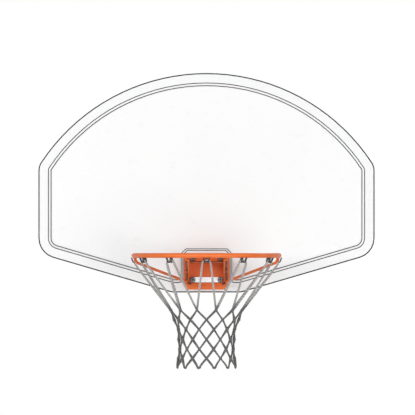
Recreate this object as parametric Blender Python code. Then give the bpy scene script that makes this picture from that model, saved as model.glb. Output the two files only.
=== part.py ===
"""Basketball hoop: a fan-shaped board, a fixed steel rim on its bracket, and a net on twelve hooks.

Metres, +Z up. -Y faces the court and +X is the right of someone who looks at the board from there.
The origin is the centre of the mount plate's rear face. Heights named here are measured from the
ring's plane. The pieces hang on three empties: at that plane, at the ring's centre, and at the
level of the hooks, where the net swings.
"""
import math

import bmesh
import bpy
from mathutils import Quaternion, Vector

# Fits: what is left between faces that are bolted or welded, and round shanks in their holes.
SEAT_GAP = 0.0003
SHANK_CLEARANCE = 0.0003

# Where the ring's plane lies, seen from the mount plate's centre.
RING_PLANE_HEIGHT = -0.095

# Rim bolts: heads inside the channels, washers and nuts in front.
BOLT_RADIUS = 0.004
BOLT_POINT_CHAMFER = 0.0008
BOLT_HEAD_ACROSS = 0.013
BOLT_HEAD_HEIGHT = 0.0053
BOLT_NUT_HEIGHT = 0.0065
BOLT_END_PROUD = 0.003
BOLT_WASHER_RADIUS = 0.00925
BOLT_WASHER_THICKNESS = 0.002
BOLT_PITCH_X = 0.0918
BOLT_PITCH_Z = 0.0716
BOLT_UPPER_HEIGHT = -0.009
BOLT_LOWER_HEIGHT = BOLT_UPPER_HEIGHT - BOLT_PITCH_Z

# Rim bracket: two gussets pressed as angles, a cross plate, and a strap as high as its washers.
GUSSET_THICKNESS = 0.004
GUSSET_FLANGE_WIDTH = 0.0139
GUSSET_WASHER_CLEARANCE = 0.00135
GUSSET_SPAN = BOLT_PITCH_X + 2 * (BOLT_WASHER_RADIUS + GUSSET_WASHER_CLEARANCE + GUSSET_FLANGE_WIDTH)
GUSSET_BEND_RADIUS = 0.007
GUSSET_NOSE_DEPTH = 0.010
GUSSET_NOSE_REACH = 0.010
CROSS_PLATE_THICKNESS = 0.0067
CROSS_PLATE_WASHER_CLEARANCE = 0.001
CROSS_PLATE_RING_CLEARANCE = 0.0167
STRAP_THICKNESS = 0.004
STRAP_HEIGHT = 2 * BOLT_WASHER_RADIUS
STRAP_FOOT_HEIGHT = BOLT_LOWER_HEIGHT - STRAP_HEIGHT / 2

# Brace: one bent rod, from under the ring's one side to the other, past the back plate.
BRACE_ROD_DIAMETER = 0.0095
BRACE_ROD_RADIUS = BRACE_ROD_DIAMETER / 2
BRACE_BAR_WIDTH = 0.092
BRACE_BAR_HEIGHT = STRAP_FOOT_HEIGHT - SEAT_GAP - BRACE_ROD_RADIUS
BRACE_RING_ANGLE = 101
BRACE_KNEE_FALL = 0.0105
BRACE_KNEE_LENGTH = 0.016
BRACE_BEND_RADIUS = 0.014
BRACE_KNEE_RADIUS = 0.008

# Back plate of the bracket, round the bolts, the gussets and the brace's bar.
BACK_PLATE_SIDE_MARGIN = 0.006
BACK_PLATE_TOP_MARGIN = 0.015
BACK_PLATE_FOOT_MARGIN = 0.01335
BACK_PLATE_THICKNESS = 0.004
BACK_PLATE_TOP_RADIUS = 0.006
BACK_PLATE_BOTTOM_RADIUS = 0.018
BACK_PLATE_WIDTH = GUSSET_SPAN + 2 * BACK_PLATE_SIDE_MARGIN
BACK_PLATE_TOP_HEIGHT = BOLT_UPPER_HEIGHT + BACK_PLATE_TOP_MARGIN
BACK_PLATE_BOTTOM_HEIGHT = BRACE_BAR_HEIGHT - BRACE_ROD_RADIUS - BACK_PLATE_FOOT_MARGIN

# Panel and its border moulding, which widens into a pad behind the back plate.
PANEL_THICKNESS = 0.010
PANEL_CLEARANCE = 0.0003
FRAME_WIDTH = 0.0332
FRAME_BEVEL = 0.0086
FRAME_PROUD = 0.0055
FRAME_LIP = 0.0015
FRAME_WALL = 0.003
FRAME_BACKSET = 0.008
PAD_SIDE_MARGIN = 0.0026
PAD_TOP_MARGIN = 0.0113
PAD_FOOT_MARGIN = 0.0099
PAD_BEVEL = 0.0045
PAD_CHAMFER = 0.0155
PAD_ROOT_RADIUS = 0.014
PAD_CORNER_RADIUS = 0.005
PAD_WIDTH = BACK_PLATE_WIDTH + 2 * PAD_SIDE_MARGIN
PAD_TOP_HEIGHT = BACK_PLATE_TOP_HEIGHT + PAD_TOP_MARGIN

# Board outline: a round crown on straight sides, sloping down to a short flat bottom under the pad.
BOARD_WIDTH = 1.117
BOARD_CROWN_HEIGHT = 0.6063
BOARD_SHOULDER_HEIGHT = 0.297
BOARD_LOWER_CORNER_HEIGHT = 0.0066
BOARD_BOTTOM_WING = 0.0363
BOARD_BOTTOM_WIDTH = PAD_WIDTH + 2 * BOARD_BOTTOM_WING
BOARD_BOTTOM_HEIGHT = BACK_PLATE_BOTTOM_HEIGHT - PAD_FOOT_MARGIN
SHOULDER_RADIUS = 0.052
LOWER_CORNER_RADIUS = 0.068
BOTTOM_CORNER_RADIUS = 0.030
SMALLEST_RADIUS = 0.004

# Screws' shape: their point, and the rim and crown of a pan head, as shares of shank and head.
SCREW_POINT_SHARE = 0.5
SCREW_HEAD_RIM_SHARE = 0.6
SCREW_HEAD_CROWN_SHARE = 0.7

# Frame screws, driven from behind into the middle of the moulding. The last is the cover they leave.
FRAME_SCREW_RADIUS = 0.00225
FRAME_SCREW_HEAD_RADIUS = 0.0045
FRAME_SCREW_HEAD_HEIGHT = 0.0028
FRAME_SCREW_CROWN_SHARES = (0, 0.415, 0.83)
FRAME_SCREW_COVER = 0.002

# Two lipped steel channels behind the bolts, screwed to the panel above the rim.
CHANNEL_WIDTH = 0.044
CHANNEL_DEPTH = 0.034
CHANNEL_WALL = 0.0025
CHANNEL_LIP = 0.011
CHANNEL_TOP_HEIGHT = 0.300
CHANNEL_FOOT_MARGIN = 0.0129
CHANNEL_SCREW_RADIUS = 0.0025
CHANNEL_SCREW_HEAD_RADIUS = 0.005
CHANNEL_SCREW_HEAD_HEIGHT = 0.003
CHANNEL_SCREW_TOP_MARGIN = 0.020
CHANNEL_SCREW_PITCH = 0.075
CHANNEL_SCREW_COVER = 0.003

# Mount plate, welded across the channels, with a hole near each corner.
MOUNT_PLATE_WING = 0.0421
MOUNT_PLATE_WIDTH = BOLT_PITCH_X + CHANNEL_WIDTH + 2 * MOUNT_PLATE_WING
MOUNT_PLATE_HEIGHT = 0.120
MOUNT_PLATE_THICKNESS = 0.004
MOUNT_PLATE_CORNER_RADIUS = 0.010
MOUNT_HOLE_RADIUS = 0.0055
MOUNT_HOLE_MARGIN = 0.020

# Ring: 18 inches inside, of five-eighths rod, six inches in front of the panel.
RING_INSIDE_DIAMETER = 0.4572
RING_ROD_DIAMETER = 0.0159
RING_STAND_OFF = 0.151
RING_ROD_RADIUS = RING_ROD_DIAMETER / 2
RING_RADIUS = RING_INSIDE_DIAMETER / 2 + RING_ROD_RADIUS

# Net hooks: one wire each, bent like a W, its middle welded under the ring.
HOOK_COUNT = 12
HOOK_WIRE_RADIUS = 0.002
HOOK_SADDLE_RADIUS = 0.0028
HOOK_SADDLE_SWEEP = 60
HOOK_INNER_SPREAD = 0.0045
HOOK_OUTER_SPREAD = 0.0062
HOOK_HORN_SPREAD = 0.0095
HOOK_HORN_OUT = RING_ROD_RADIUS + 0.00025
HOOK_HORN_DROP = RING_ROD_RADIUS - 0.00095
HOOK_SADDLE_INSET = 0.006
HOOK_INNER_INSET = 0.0082
HOOK_OUTER_OUT = 0.0026
HOOK_TROUGH_RADIUS = 0.0046
HOOK_TROUGH_DEPTH = 0.0142
HOOK_TROUGH_DROP = RING_ROD_RADIUS + HOOK_TROUGH_DEPTH

# Net: drops are from the hooks' troughs, and insets of the rows and the hem from the ring.
CORD_RADIUS = 0.0025
NET_LOOP_RADIUS = 0.014
NET_LOOP_RISE = 0.0072
NET_LOOP_INSET = 0.0017
NET_LOOP_SWEEP = 75
NET_ROW_DROPS = (0.1554, 0.1873, 0.2189, 0.2518, 0.2834, 0.3137)
NET_ROW_INSETS = (0.1160, 0.1314, 0.1420, 0.1466, 0.1464, 0.1454)
NET_HEM_DROP = 0.3443
NET_HEM_INSET = 0.1388
NET_HEM_RADIUS = 0.0055
KNOT_SMALLEST_REACH = 0.0042
KNOT_REACH_FACTOR = 1.12

# How finely round shapes are drawn.
SHARP_ANGLE = 35
CROWN_STEPS = 18
CORNER_STEPS = 5
SMALL_CORNER_STEPS = 2
BEND_STEPS = 4
STRAP_END_STEPS = 8
RING_STEPS = 60
RING_ROD_SIDES = 10
BRACE_SIDES = 8
WIRE_SIDES = 6
LOOP_STEPS = 6
HOLE_SIDES = 12

# Board lines that follow from the sizes above.
CROWN_RISE = BOARD_CROWN_HEIGHT - BOARD_SHOULDER_HEIGHT
CROWN_RADIUS = ((BOARD_WIDTH / 2) ** 2 + CROWN_RISE**2) / (2 * CROWN_RISE)
CROWN_CENTRE_HEIGHT = BOARD_CROWN_HEIGHT - CROWN_RADIUS
BOTTOM_SLOPE = (BOARD_LOWER_CORNER_HEIGHT - BOARD_BOTTOM_HEIGHT) / (BOARD_WIDTH - BOARD_BOTTOM_WIDTH) * 2

# Depths that follow from the sizes above, front faces being the more negative.
CHANNEL_REAR_Y = -MOUNT_PLATE_THICKNESS - SEAT_GAP
CHANNEL_FRONT_Y = CHANNEL_REAR_Y - CHANNEL_DEPTH
CHANNEL_FLOOR_Y = CHANNEL_FRONT_Y + CHANNEL_WALL
CHANNEL_MIDDLE_Y = CHANNEL_FRONT_Y + CHANNEL_DEPTH / 2
PANEL_REAR_Y = CHANNEL_FRONT_Y - SEAT_GAP
PANEL_FRONT_Y = PANEL_REAR_Y - PANEL_THICKNESS
LIP_REAR_Y = PANEL_FRONT_Y - SEAT_GAP
FRAME_FRONT_Y = LIP_REAR_Y - FRAME_PROUD
FRAME_REAR_Y = PANEL_REAR_Y + FRAME_BACKSET
BACK_PLATE_REAR_Y = FRAME_FRONT_Y - SEAT_GAP
BACK_PLATE_FRONT_Y = BACK_PLATE_REAR_Y - BACK_PLATE_THICKNESS
STRAP_REAR_Y = BACK_PLATE_FRONT_Y - SEAT_GAP
STRAP_FRONT_Y = STRAP_REAR_Y - STRAP_THICKNESS
RING_CENTRE_Y = PANEL_FRONT_Y - RING_STAND_OFF - RING_INSIDE_DIAMETER / 2


def clear_scene():
    """Remove every object of the open scene."""
    for obj in list(bpy.data.objects):
        bpy.data.objects.remove(obj, do_unlink=True)


def finish(name, colour, roughness, metallic=0.0):
    """A plain material with the piece's own colour."""
    material = bpy.data.materials.new(name)
    material.use_nodes = True
    shader = material.node_tree.nodes["Principled BSDF"]
    shader.inputs["Base Color"].default_value = (*colour, 1)
    shader.inputs["Roughness"].default_value = roughness
    shader.inputs["Metallic"].default_value = metallic
    return material


def add_empty(name, place, parent=None):
    """An empty that pieces are hung on."""
    empty = bpy.data.objects.new(name, None)
    empty.location = place
    empty.parent = parent
    bpy.context.scene.collection.objects.link(empty)
    return empty


def add_object(name, bm, parent):
    """An object made of a bmesh, its faces turned outward."""
    bmesh.ops.recalc_face_normals(bm, faces=bm.faces)
    mesh = bpy.data.meshes.new(name)
    bm.to_mesh(mesh)
    bm.free()
    obj = bpy.data.objects.new(name, mesh)
    obj.parent = parent
    bpy.context.scene.collection.objects.link(obj)
    return obj


def add_piece(name, bm, material, parent):
    """A piece of the hoop, smooth where it is round."""
    piece = add_object(name, bm, parent)
    piece.data.shade_smooth()
    piece.data.set_sharp_from_angle(angle=math.radians(SHARP_ANGLE))
    piece.data.materials.append(material)
    return piece


def add_cutter(name, bm, parent):
    """A mesh that pieces are cut or joined with, kept out of the model."""
    cutter = add_object(name, bm, parent)
    cutter.hide_render = True
    cutter.display_type = "WIRE"
    return cutter


def combine(piece, cutter, operation="DIFFERENCE"):
    """Cut a piece with a cutter, or join the cutter to it."""
    boolean = piece.modifiers.new(cutter.name, "BOOLEAN")
    boolean.operation = operation
    boolean.solver = "EXACT"
    boolean.object = cutter


def add_loop(bm, points):
    """New vertices at these points, in order."""
    return [bm.verts.new(point) for point in points]


def bridge(bm, first, second):
    """Quads between two closed loops of equal count."""
    count = len(first)
    for i in range(count):
        j = (i + 1) % count
        bm.faces.new((first[i], first[j], second[j], second[i]))


def loft(bm, outlines, round_trip=False):
    """Join outlines of equal count into a capped solid, or into a closed ring of sections."""
    loops = [add_loop(bm, outline) for outline in outlines]
    for first, second in zip(loops, loops[1:]):
        bridge(bm, first, second)
    if round_trip:
        bridge(bm, loops[-1], loops[0])
    else:
        bm.faces.new(loops[0])
        bm.faces.new(loops[-1])


def at_depth(outline, y):
    """Put an outline of (x, z) points in the plane of this depth."""
    return [Vector((x, y, z)) for x, z in outline]


def slab(bm, outline, y_rear, y_front):
    """A flat piece of this outline between two depths."""
    loft(bm, [at_depth(outline, y_rear), at_depth(outline, y_front)])


def circle(centre, radius):
    """Points of a circle about (x, z), clockwise from the top as the court sees it."""
    angles = [2 * math.pi * i / HOLE_SIDES for i in range(HOLE_SIDES)]
    return [(centre[0] + radius * math.sin(a), centre[1] + radius * math.cos(a)) for a in angles]


def hexagon(centre, across):
    """Points of a hexagon with level flats, as many as a circle has and at the same angles."""
    points = []
    for i in range(HOLE_SIDES):
        angle = 2 * math.pi * i / HOLE_SIDES
        from_corner = (angle % (math.pi / 3)) - math.pi / 6
        radius = across / 2 / math.cos(math.pi / 6 - abs(from_corner))
        points.append((centre[0] + radius * math.sin(angle), centre[1] + radius * math.cos(angle)))
    return points


def arc(centre, radius, start, end, steps):
    """Points of an arc in (x, z), both ends included. Angle 0 points along +X."""
    turns = [start + (end - start) * i / steps for i in range(steps + 1)]
    return [(centre[0] + radius * math.cos(t), centre[1] + radius * math.sin(t)) for t in turns]


def rounded_corner(before, corner, after, radius, steps):
    """Points of a round corner, for flat (x, z) or solid (x, y, z) corners alike."""
    corner = Vector(corner)
    to_before = (Vector(before) - corner).normalized()
    to_after = (Vector(after) - corner).normalized()
    half = to_before.angle(to_after) / 2
    centre = corner + (to_before + to_after).normalized() * radius / math.sin(half)
    start = corner + to_before * radius / math.tan(half) - centre
    end = corner + to_after * radius / math.tan(half) - centre
    sweep = start.angle(end)
    points = []
    for i in range(steps + 1):
        share = i / steps
        blend = start * math.sin((1 - share) * sweep) + end * math.sin(share * sweep)
        points.append(tuple(centre + blend / math.sin(sweep)))
    return points


def mirrored(half):
    """The whole outline from its right half, whose points on the centre line aren't repeated."""
    return half + [(-x, z) for x, z in reversed(half) if x > SEAT_GAP]


def half_board(inset):
    """The board's right half from its crown down, drawn in by an inset, up to the bottom's corner."""
    side = BOARD_WIDTH / 2 - inset
    radius = CROWN_RADIUS - inset
    shoulder = max(SHOULDER_RADIUS - inset, SMALLEST_RADIUS)
    shoulder_x = side - shoulder
    shoulder_z = CROWN_CENTRE_HEIGHT + math.sqrt((radius - shoulder) ** 2 - shoulder_x**2)
    turn = math.atan2(shoulder_z - CROWN_CENTRE_HEIGHT, shoulder_x)
    points = arc((0, CROWN_CENTRE_HEIGHT), radius, math.pi / 2, turn, CROWN_STEPS)
    points += arc((shoulder_x, shoulder_z), shoulder, turn, 0, CORNER_STEPS)[1:]
    lift = inset * math.hypot(1, BOTTOM_SLOPE)
    lower_corner = (side, BOARD_LOWER_CORNER_HEIGHT - BOTTOM_SLOPE * inset + lift)
    bottom = BOARD_BOTTOM_HEIGHT + inset
    fall = BOARD_LOWER_CORNER_HEIGHT + lift - bottom
    bottom_corner = (BOARD_WIDTH / 2 - fall / BOTTOM_SLOPE, bottom)
    lower = max(LOWER_CORNER_RADIUS - inset, SMALLEST_RADIUS)
    points += rounded_corner((side, shoulder_z), lower_corner, bottom_corner, lower, CORNER_STEPS)
    end = (0, bottom)
    points += rounded_corner(lower_corner, bottom_corner, end, BOTTOM_CORNER_RADIUS, SMALL_CORNER_STEPS)
    return points


def board_outline(inset):
    """The board's whole outline, drawn in by an inset."""
    return mirrored(half_board(inset))


def field_outline(inset, grow):
    """The border's inner edge: parallel to the board's outline, and up round the pad, grown by a bevel."""
    half = half_board(inset)
    side = PAD_WIDTH / 2 + grow
    top = PAD_TOP_HEIGHT + grow
    foot = (side, BOARD_BOTTOM_HEIGHT + inset)
    hip = (side, top - PAD_CHAMFER)
    brow = (side - PAD_CHAMFER, top)
    half += rounded_corner(half[-1], foot, hip, PAD_ROOT_RADIUS, CORNER_STEPS)
    half += rounded_corner(foot, hip, brow, PAD_CORNER_RADIUS, SMALL_CORNER_STEPS)
    half += rounded_corner(hip, brow, (0, top), PAD_CORNER_RADIUS, SMALL_CORNER_STEPS)
    return mirrored(half)


def fill_between(bm, outer, inner):
    """A flat face with a hole, between two loops in one plane that faces the court."""
    edges = [bm.edges.get((loop[i - 1], loop[i])) for loop in (outer, inner) for i in range(len(loop))]
    bmesh.ops.triangle_fill(bm, use_beauty=True, edges=edges, normal=(0, -1, 0))


def board_frame(material, parent):
    """The border moulding: flat front, bevelled inner edge, and a wall round the panel's edge."""
    bm = bmesh.new()
    crest = add_loop(bm, at_depth(field_outline(FRAME_WIDTH, 0), FRAME_FRONT_Y))
    foot_outline = field_outline(FRAME_WIDTH + FRAME_BEVEL, PAD_BEVEL)
    foot_front = add_loop(bm, at_depth(foot_outline, LIP_REAR_Y - FRAME_LIP))
    foot_rear = add_loop(bm, at_depth(foot_outline, LIP_REAR_Y))
    outer_front = add_loop(bm, at_depth(board_outline(0), FRAME_FRONT_Y))
    outer_rear = add_loop(bm, at_depth(board_outline(0), FRAME_REAR_Y))
    wall_front = add_loop(bm, at_depth(board_outline(FRAME_WALL), LIP_REAR_Y))
    wall_rear = add_loop(bm, at_depth(board_outline(FRAME_WALL), FRAME_REAR_Y))
    bridge(bm, crest, foot_front)
    bridge(bm, foot_front, foot_rear)
    bridge(bm, wall_front, wall_rear)
    bridge(bm, wall_rear, outer_rear)
    bridge(bm, outer_rear, outer_front)
    fill_between(bm, outer_front, crest)
    fill_between(bm, wall_front, foot_rear)
    return add_piece("board_frame", bm, material, parent)


def board_panel(material, parent):
    """The flat sheet that the ball strikes."""
    bm = bmesh.new()
    slab(bm, board_outline(FRAME_WALL + PANEL_CLEARANCE), PANEL_REAR_Y, PANEL_FRONT_Y)
    return add_piece("board_panel", bm, material, parent)


def frame_screw_places():
    """Centres of the frame screws: along the crown, halfway up each side and halfway down each slope."""
    inset = (FRAME_WALL + FRAME_WIDTH) / 2
    half_crown = math.asin(BOARD_WIDTH / 2 / CROWN_RADIUS)
    places = []
    for share in FRAME_SCREW_CROWN_SHARES:
        angle = share * half_crown
        reach = CROWN_RADIUS - inset
        places.append((reach * math.sin(angle), CROWN_CENTRE_HEIGHT + reach * math.cos(angle)))
    side_height = (BOARD_SHOULDER_HEIGHT + BOARD_LOWER_CORNER_HEIGHT) / 2
    places.append((BOARD_WIDTH / 2 - inset, side_height))
    slope_height = (BOARD_LOWER_CORNER_HEIGHT + BOARD_BOTTOM_HEIGHT) / 2
    lift = inset * math.hypot(1, BOTTOM_SLOPE)
    places.append(((BOARD_WIDTH + BOARD_BOTTOM_WIDTH) / 4, slope_height + lift))
    return mirrored(places)


def channel_screw_places():
    """Centres of the channel screws in (x, z), right channel first."""
    top = CHANNEL_TOP_HEIGHT - CHANNEL_SCREW_TOP_MARGIN
    heights = (top - CHANNEL_SCREW_PITCH, top)
    return [(side * BOLT_PITCH_X / 2, z) for side in (1, -1) for z in heights]


def rim_bolt_places():
    """Centres of the four rim bolts in (x, z), the upper two first."""
    heights = (BOLT_UPPER_HEIGHT, BOLT_LOWER_HEIGHT)
    return [(side * BOLT_PITCH_X / 2, z) for z in heights for side in (1, -1)]


def bores(name, places, radius, y_rear, y_front, parent):
    """A cutter with one round bore at each place."""
    bm = bmesh.new()
    for place in places:
        slab(bm, circle(place, radius), y_rear, y_front)
    return add_cutter(name, bm, parent)


def pan_screw(name, place, radius, head_radius, head_height, seat_y, tip_y, material, parent):
    """A pan-headed screw: its head sits behind seat_y and its shank runs forward to tip_y."""
    sections = (
        (radius * SCREW_POINT_SHARE, tip_y),
        (radius, tip_y + radius),
        (radius, seat_y),
        (head_radius, seat_y),
        (head_radius, seat_y + head_height * SCREW_HEAD_RIM_SHARE),
        (head_radius * SCREW_HEAD_CROWN_SHARE, seat_y + head_height),
    )
    bm = bmesh.new()
    loft(bm, [at_depth(circle(place, size), y) for size, y in sections])
    add_piece(name, bm, material, parent)


def rear_channel(name, side, material, parent):
    """A lipped channel, its web on the panel's back and its lips to the rear."""
    half = CHANNEL_WIDTH / 2
    lip = half - CHANNEL_LIP
    inside = half - CHANNEL_WALL
    lip_front = CHANNEL_REAR_Y - CHANNEL_WALL
    right = [(half, CHANNEL_FRONT_Y), (half, CHANNEL_REAR_Y), (lip, CHANNEL_REAR_Y)]
    right += [(lip, lip_front), (inside, lip_front), (inside, CHANNEL_FLOOR_Y)]
    section = right + [(-x, y) for x, y in reversed(right)]
    centre = side * BOLT_PITCH_X / 2
    ends = (BOARD_BOTTOM_HEIGHT + CHANNEL_FOOT_MARGIN, CHANNEL_TOP_HEIGHT)
    bm = bmesh.new()
    loft(bm, [[Vector((centre + x, y, z)) for x, y in section] for z in ends])
    return add_piece(name, bm, material, parent)


def mount_plate(material):
    """The plate that the pole or wall bracket bolts to, about the origin."""
    half_x, half_z = MOUNT_PLATE_WIDTH / 2, MOUNT_PLATE_HEIGHT / 2
    corners = [(half_x, half_z), (half_x, -half_z), (-half_x, -half_z), (-half_x, half_z)]
    outline = []
    for i, corner in enumerate(corners):
        before, after = corners[i - 1], corners[(i + 1) % 4]
        outline += rounded_corner(before, corner, after, MOUNT_PLATE_CORNER_RADIUS, BEND_STEPS)
    bm = bmesh.new()
    slab(bm, outline, 0, -MOUNT_PLATE_THICKNESS)
    plate = add_piece("mount_plate", bm, material, None)
    hole_x, hole_z = half_x - MOUNT_HOLE_MARGIN, half_z - MOUNT_HOLE_MARGIN
    places = [(x, z) for x in (hole_x, -hole_x) for z in (hole_z, -hole_z)]
    over = MOUNT_PLATE_THICKNESS
    combine(plate, bores("mount_hole_bores", places, MOUNT_HOLE_RADIUS, over, -2 * over, None))


def back_plate(material, parent):
    """The plate of the rim bracket that lies on the pad."""
    half = BACK_PLATE_WIDTH / 2
    upper = (half, BACK_PLATE_TOP_HEIGHT)
    lower = (half, BACK_PLATE_BOTTOM_HEIGHT)
    outline = rounded_corner((0, BACK_PLATE_TOP_HEIGHT), upper, lower, BACK_PLATE_TOP_RADIUS, BEND_STEPS)
    end = (0, BACK_PLATE_BOTTOM_HEIGHT)
    outline += rounded_corner(upper, lower, end, BACK_PLATE_BOTTOM_RADIUS, CORNER_STEPS)
    bm = bmesh.new()
    slab(bm, mirrored(outline), BACK_PLATE_REAR_Y, BACK_PLATE_FRONT_Y)
    return add_piece("rim_back_plate", bm, material, parent)


def gusset_edge():
    """Where a gusset's sloping front edge runs, from its nose to its heel, as (y, z)."""
    web_x = (GUSSET_SPAN - GUSSET_THICKNESS) / 2
    rod_y = RING_CENTRE_Y + math.sqrt(RING_RADIUS**2 - web_x**2)
    nose = (rod_y - GUSSET_NOSE_REACH, -RING_ROD_RADIUS - SEAT_GAP - GUSSET_NOSE_DEPTH)
    heel = (BACK_PLATE_FRONT_Y - SEAT_GAP, STRAP_FOOT_HEIGHT)
    return nose, heel


def along_edge(section, side, overrun):
    """Run a section of (across, depth) points along a gusset's sloping edge, its ends upright."""
    nose, heel = (Vector((0, *end)) for end in gusset_edge())
    down = (heel - nose).normalized()
    corner = Vector((side * GUSSET_SPAN / 2, 0, 0))
    outlines = []
    for end in (nose - down * overrun, heel + down * overrun):
        outlines.append([corner + end + Vector((-side * x, 0, depth / down.y)) for x, depth in section])
    bm = bmesh.new()
    loft(bm, outlines)
    return bm


def gusset(name, side, material, parent):
    """A pressed angle: a web that stands on the back plate, and a flange along its sloping edge."""
    nose, heel = gusset_edge()
    top = -RING_ROD_RADIUS - SEAT_GAP
    web = [(heel[0], top), (nose[0], top), nose, heel]
    outer = side * GUSSET_SPAN / 2
    inner = outer - side * GUSSET_THICKNESS
    bm = bmesh.new()
    loft(bm, [[Vector((x, y, z)) for y, z in web] for x in (inner, outer)])
    piece = add_piece(name, bm, material, parent)

    bend = rounded_corner((0, 1), (0, 0), (1, 0), GUSSET_BEND_RADIUS, BEND_STEPS)
    flange = bend + [(GUSSET_FLANGE_WIDTH, 0), (GUSSET_FLANGE_WIDTH, GUSSET_THICKNESS)]
    flange += [(GUSSET_THICKNESS, GUSSET_THICKNESS), (GUSSET_THICKNESS, GUSSET_BEND_RADIUS)]
    over = GUSSET_THICKNESS
    waste = [(-over, -over), (-over, GUSSET_BEND_RADIUS)] + bend + [(GUSSET_BEND_RADIUS, -over)]
    combine(piece, add_cutter(name + "_waste", along_edge(waste, side, over), parent))
    combine(piece, add_cutter(name + "_flange", along_edge(flange, side, 0), parent), "UNION")


def cross_plate(material, parent):
    """A level plate between the gussets' webs, under the upper bolts."""
    half = GUSSET_SPAN / 2 - GUSSET_THICKNESS - SEAT_GAP
    rear = BACK_PLATE_FRONT_Y - SEAT_GAP
    front = RING_CENTRE_Y + RING_RADIUS + RING_ROD_RADIUS + CROSS_PLATE_RING_CLEARANCE
    outline = [(half, rear), (half, front), (-half, front), (-half, rear)]
    top = BOLT_UPPER_HEIGHT - BOLT_WASHER_RADIUS - CROSS_PLATE_WASHER_CLEARANCE
    bm = bmesh.new()
    loft(bm, [[Vector((x, y, z)) for x, y in outline] for z in (top, top - CROSS_PLATE_THICKNESS)])
    add_piece("cross_plate", bm, material, parent)


def lower_strap(material, parent):
    """A round-ended bar under the washers of the two lower bolts."""
    end = (BOLT_PITCH_X / 2, BOLT_LOWER_HEIGHT)
    half = arc(end, STRAP_HEIGHT / 2, math.pi / 2, -math.pi / 2, STRAP_END_STEPS)
    bm = bmesh.new()
    slab(bm, mirrored(half), STRAP_REAR_Y, STRAP_FRONT_Y)
    return add_piece("lower_strap", bm, material, parent)


def washer_rear(place):
    """The rear face of a rim bolt's washer: before the strap below, before the back plate above."""
    seat = STRAP_FRONT_Y if place[1] == BOLT_LOWER_HEIGHT else BACK_PLATE_FRONT_Y
    return seat - SEAT_GAP


def nut_rear(place):
    """The rear face of a rim bolt's nut."""
    return washer_rear(place) - BOLT_WASHER_THICKNESS - SEAT_GAP


def rim_washer(name, place, material, parent):
    """A plain washer."""
    hole = circle(place, BOLT_RADIUS + SHANK_CLEARANCE)
    edge = circle(place, BOLT_WASHER_RADIUS)
    rear = washer_rear(place)
    front = rear - BOLT_WASHER_THICKNESS
    bm = bmesh.new()
    sections = [at_depth(hole, rear), at_depth(edge, rear), at_depth(edge, front), at_depth(hole, front)]
    loft(bm, sections, round_trip=True)
    add_piece(name, bm, material, parent)


def rim_nut(name, place, material, parent):
    """A hexagon nut on the front end of a rim bolt."""
    hole = circle(place, BOLT_RADIUS + SHANK_CLEARANCE)
    flats = hexagon(place, BOLT_HEAD_ACROSS)
    rear = nut_rear(place)
    front = rear - BOLT_NUT_HEIGHT
    bm = bmesh.new()
    sections = [at_depth(hole, rear), at_depth(flats, rear), at_depth(flats, front), at_depth(hole, front)]
    loft(bm, sections, round_trip=True)
    add_piece(name, bm, material, parent)


def rim_bolt(name, place, material, parent):
    """A hexagon bolt: its head inside a channel, its shank through web, panel, pad and bracket."""
    seat = CHANNEL_FLOOR_Y + SEAT_GAP
    tip = nut_rear(place) - BOLT_NUT_HEIGHT - BOLT_END_PROUD
    flats = hexagon(place, BOLT_HEAD_ACROSS)
    sections = [
        at_depth(circle(place, BOLT_RADIUS - BOLT_POINT_CHAMFER), tip),
        at_depth(circle(place, BOLT_RADIUS), tip + BOLT_POINT_CHAMFER),
        at_depth(circle(place, BOLT_RADIUS), seat),
        at_depth(flats, seat),
        at_depth(flats, seat + BOLT_HEAD_HEIGHT),
    ]
    bm = bmesh.new()
    loft(bm, sections)
    add_piece(name, bm, material, parent)


def along_ring(point, angle):
    """Place a point given as (along the ring, outward, up) at this angle. Angle 0 is at the rear."""
    along, outward, up = point
    radius = RING_RADIUS + outward
    x = radius * math.sin(angle) + along * math.cos(angle)
    y = radius * math.cos(angle) - along * math.sin(angle)
    return Vector((x, y, up))


def rim_ring(material, parent):
    """The ring's round rod."""
    turns = [2 * math.pi * j / RING_ROD_SIDES for j in range(RING_ROD_SIDES)]
    rod = [(0, RING_ROD_RADIUS * math.cos(t), RING_ROD_RADIUS * math.sin(t)) for t in turns]
    angles = [2 * math.pi * i / RING_STEPS for i in range(RING_STEPS)]
    bm = bmesh.new()
    loft(bm, [[along_ring(point, angle) for point in rod] for angle in angles], round_trip=True)
    add_piece("rim_ring", bm, material, parent)


def tube_sections(path, radius, sides, side_hint):
    """Round sections square to a path, each turned as little as possible from the one before."""
    last = len(path) - 1
    tangents = [(path[min(i + 1, last)] - path[max(i - 1, 0)]).normalized() for i in range(last + 1)]
    across = (side_hint - tangents[0] * side_hint.dot(tangents[0])).normalized()
    sections = []
    for i, tangent in enumerate(tangents):
        if i:
            across = tangents[i - 1].rotation_difference(tangent) @ across
        turns = [Quaternion(tangent, 2 * math.pi * j / sides) for j in range(sides)]
        sections.append([path[i] + turn @ across * radius for turn in turns])
    return sections


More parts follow.
